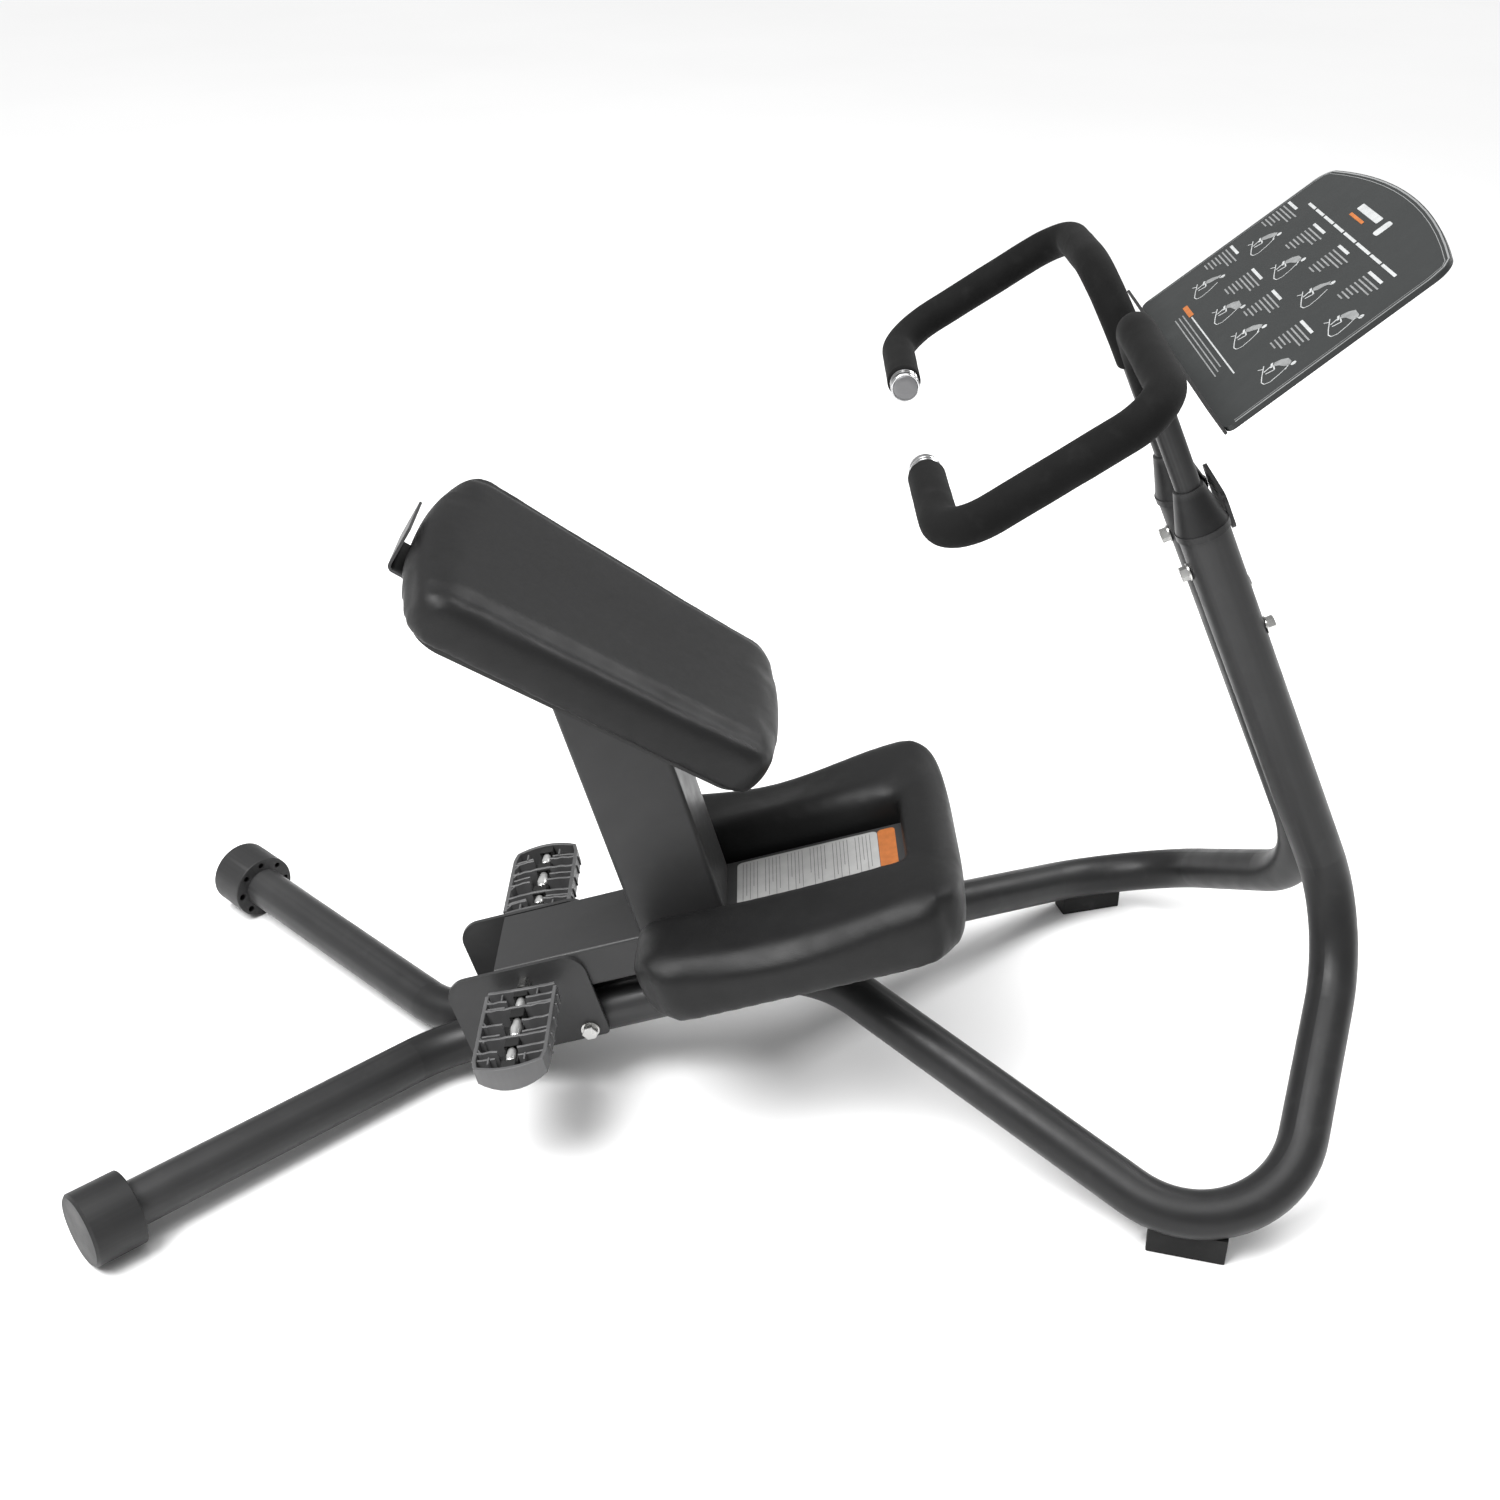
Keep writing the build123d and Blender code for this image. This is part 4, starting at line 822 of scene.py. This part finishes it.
class Flat:
    """Collects thin printed shapes that lie on one plane of the object."""

    def __init__(self, place):
        self.place, self.points, self.faces = place, [], []

    def polygon(self, outline, lift=0.0):
        """A closed outline of (u, v), raised a hair off the plane."""
        base, count = len(self.points), len(outline)
        for height in (lift, lift + PRINT_THICK):
            self.points += [self.place(u, v, height) for u, v in outline]
        self.faces.append(tuple(base + count + i for i in range(count)))
        self.faces.append(tuple(base + i for i in reversed(range(count))))
        for i in range(count):
            j = (i + 1) % count
            self.faces.append((base + i, base + j, base + count + j, base + count + i))

    def bar(self, u0, v0, u1, v1, width, lift=0.0):
        """A stroke with square ends."""
        du, dv = u1 - u0, v1 - v0
        length = sqrt(du * du + dv * dv)
        nu, nv = -dv / length * width / 2, du / length * width / 2
        self.polygon([(u0 + nu, v0 + nv), (u0 - nu, v0 - nv), (u1 - nu, v1 - nv),
                      (u1 + nu, v1 + nv)], lift)

    def disc(self, u, v, radius, lift=0.0, count=16):
        self.polygon([(u + radius * cos(2 * pi * i / count), v + radius * sin(2 * pi * i / count))
                      for i in range(count)], lift)

    def plate(self, u0, u1, v0, v1, corner, lift=0.0):
        """A rectangle with rounded corners."""
        outline = []
        for cu, cv, start in ((u1 - corner, v1 - corner, 0), (u0 + corner, v1 - corner, 90),
                              (u0 + corner, v0 + corner, 180), (u1 - corner, v0 + corner, 270)):
            for i in range(5):
                turn = radians(start + 90 * i / 4)
                outline.append((cu + corner * cos(turn), cv + corner * sin(turn)))
        self.polygon(outline, lift)

    def build(self, name, body, slot, look):
        piece(name, outward(mesh_of(name, self.points, self.faces)), body, look, smooth=False)


def on_panel(u, v, h):
    """Point over the placard's sheet, clear of it by a hair."""
    return panel(u, v, h + 0.0001)


light, soft, orange = Flat(on_panel), Flat(on_panel), Flat(on_panel)
MM = 0.001

# each stance: how far the shoulder leans forward, and where the hand is
STANCES = ((0, (9, 6)), (4, (12, 4)), (-3, (7, 15)), (7, (15, 12)))


def figure(u, y, kind):
    """A plain stretching figure on a looped frame, in strokes; x runs to the reader's right."""

    def spot(x, z):
        return (u + z * MM, y - x * MM)

    def line(flat, width, *spots):
        for (x0, z0), (x1, z1) in zip(spots, spots[1:]):
            flat.bar(*spot(x0, z0), *spot(x1, z1), width * MM)

    line(light, 0.9, (-20, -14), (-15, -10), (-3, -15), (6, -18), (12, -17), (15, -12), (13, -2),
         (9, 8))
    line(light, 0.9, (-20, -8), (-15, -10))
    line(light, 1.4, (-9, -11), (-11, -3))
    line(light, 2.2, (-15, -1), (-8, -4))
    lean, hand = STANCES[kind % len(STANCES)]
    x, z = 3 + lean, 11 - lean * 0.4
    torso = [(-13, 1), (-10, 7), (-4, 12), (x - 2, z + 3), (x + 2, z), (x - 1, z - 4), (-3, 2),
             (-8, -2)]
    soft.polygon([spot(*corner) for corner in torso])
    line(light, 1.3, (-10, -1), (-1, -3), (-4, -11))
    line(light, 1.1, (x, z - 1), hand)
    light.disc(*spot(x + 4, z + 3), 2.7 * MM)


# two rows of four, in mm: heading height, figure height, left edges of the text, figure middles
ROWS = ((172, 130, (172, 81, -1, -92), (122, 34, -60, -146)),
        (104, 64, (170, 82, 6, -92), (118, 31, -46, -146)))
TEXT_LENGTHS = (46, 42, 44, 27, 24, 26, 17)
TEXT_RIGHT_END = -178
for row, (head_u, figure_u, lefts, middles) in enumerate(ROWS):
    for column, (left, middle) in enumerate(zip(lefts, middles)):
        light.bar(head_u * MM, left * MM, head_u * MM, (left - 30 - 6 * (column % 2)) * MM, 3.0 * MM)
        for number, full in enumerate(TEXT_LENGTHS):
            u = head_u - 6.0 - 4.2 * number
            right = max(left - (full - (3 * column + 2 * row) % 5), TEXT_RIGHT_END)
            soft.bar(u * MM, left * MM, u * MM, right * MM, 1.5 * MM)
        figure(figure_u * MM, middle * MM, column + 2 * row)

# a title in bars, plain plates in place of a mark, and small print along the foot
TITLE_U, TITLE_BARS = 0.1835, ((134, 112), (108, 84), (80, 52), (48, 20), (16, -18), (-22, -60),
                               (-64, -92), (-96, -133))
for start, stop in TITLE_BARS:
    light.bar(TITLE_U, start * MM, TITLE_U, stop * MM, 0.0029)
light.plate(0.2070, 0.2145, -0.012, 0.047, 0.0015)
light.plate(0.1985, 0.2160, -0.036, -0.024, 0.0030)
orange.bar(0.2003, 0.047, 0.2003, 0.009, 0.0032)
light.bar(0.0330, 0.074, 0.0330, -0.100, 0.0014)
for number in range(3):
    u = 0.0270 - 0.0042 * number
    soft.bar(u, 0.092, u, -0.070 - 0.006 * number, 0.0012)
orange.plate(0.0310, 0.0362, 0.077, 0.108, 0.0008)
light.build("placard_print", "base", "placard_sheet", PRINT)
soft.build("placard_fine_print", "base", "placard_sheet", PRINT_SOFT)
orange.build("placard_tags", "base", "placard_sheet", ORANGE)

# light strips along the sides and the arched top, drawn flat on the sheet: a painted highlight where
# the bevelled rim catches the light
PANEL_SIDE, PANEL_CROWN, PANEL_LOW_HALF, PANEL_HIGH_HALF = 0.219, 0.026, 0.188, 0.1795
ARCH_HALF, ARCH_STEPS = PANEL_HIGH_HALF - 0.013, 12
border = Flat(on_panel)
for inset, width in ((0.0016, 0.0016), (0.0052, 0.0006)):
    right = [(0.010, PANEL_LOW_HALF - inset), (PANEL_SIDE - 0.020, PANEL_HIGH_HALF + 0.0008 - inset),
             (PANEL_SIDE - 0.006, PANEL_HIGH_HALF - 0.0035 - inset * 0.8)]
    path = [(u, -y) for u, y in right]
    for k in range(ARCH_STEPS + 1):
        y = -ARCH_HALF + 2 * ARCH_HALF * k / ARCH_STEPS
        path.append((PANEL_SIDE + PANEL_CROWN * (1 - (y / PANEL_HIGH_HALF) ** 2) - inset, y))
    path += reversed(right)
    for (u0, v0), (u1, v1) in zip(path, path[1:]):
        border.bar(u0, v0, u1, v1, width)
border.build("placard_border", "base", "placard_sheet", RIM)

BEAM_TOP, LABEL_HALF = 0.1031, 0.045
LINE_LEFT, LINE_LENGTHS = 0.041, (0.078, 0.064, 0.072, 0.048)


def on_beam(lift=0.0):
    """A flat that lies on the beam, or on what is printed there."""
    return Flat(lambda u, v, h: deck(u, v, BEAM_TOP + lift + h))


label, tag, ink = on_beam(), on_beam(), on_beam(PRINT_THICK)
label.plate(0.203, 0.3665, -LABEL_HALF, LABEL_HALF, 0.006)
label.build("beam_label", "carriage", "frame_paint", LABEL)
tag.plate(0.367, 0.387, -LABEL_HALF, LABEL_HALF, 0.005)
tag.build("beam_label_tag", "carriage", "frame_paint", ORANGE)
for block in range(6):
    for number in range(5):
        u = 0.210 + 0.0262 * block + 0.0042 * number
        length = LINE_LENGTHS[(number + block) % len(LINE_LENGTHS)]
        ink.bar(u, LINE_LEFT, u, LINE_LEFT - length, 0.0008)
ink.build("beam_label_lines", "carriage", "frame_paint", LABEL_INK)

# ---------------------------------------------------------------- stage, light and camera
bpy.ops.mesh.primitive_plane_add(size=60.0, location=(0, 0, -0.0005))
floor = bpy.context.object
floor.name = "floor"
floor.data.materials.append(material("floor_paper", (0.90, 0.90, 0.90), 0.85, vary=0.01,
                                     vary_scale=0.6, specular=0.1))

world = bpy.data.worlds.new("studio")
bpy.context.scene.world = world
world.use_nodes = True
world.node_tree.nodes["Background"].inputs["Color"].default_value = (1.0, 1.0, 1.0, 1.0)
world.node_tree.nodes["Background"].inputs["Strength"].default_value = 0.38


def softbox(name, place, aim, size, power):
    """A square area light aimed at a point."""
    data = bpy.data.lights.new(name, "AREA")
    data.shape = "RECTANGLE"
    data.size, data.size_y = size
    data.energy = power
    obj = bpy.data.objects.new(name, data)
    bpy.context.scene.collection.objects.link(obj)
    obj.location = place
    obj.rotation_euler = (Vector(aim) - Vector(place)).to_track_quat("-Z", "Y").to_euler()


softbox("key", (-1.6, -1.2, 3.4), (0, 0, 0.3), (1.8, 1.8), 150.0)
softbox("edge", (2.4, 1.4, 2.6), (0.1, 0, 0.4), (1.4, 2.0), 80.0)
sun = bpy.data.lights.new("overhead", "SUN")
sun.energy = 2.1
sun.angle = radians(55.0)
overhead = bpy.data.objects.new("overhead", sun)
bpy.context.scene.collection.objects.link(overhead)
overhead.rotation_euler = (radians(12.0), radians(-10.0), 0)

camera_data = bpy.data.cameras.new("camera")
camera_data.sensor_width = 36.0
camera_data.lens = 42.2
camera = bpy.data.objects.new("camera", camera_data)
bpy.context.scene.collection.objects.link(camera)
camera.location = (0.024, -1.628, 1.359)
camera.rotation_euler = (radians(59.96), 0, 0)
bpy.context.scene.camera = camera
bpy.context.scene.view_settings.view_transform = "Standard"
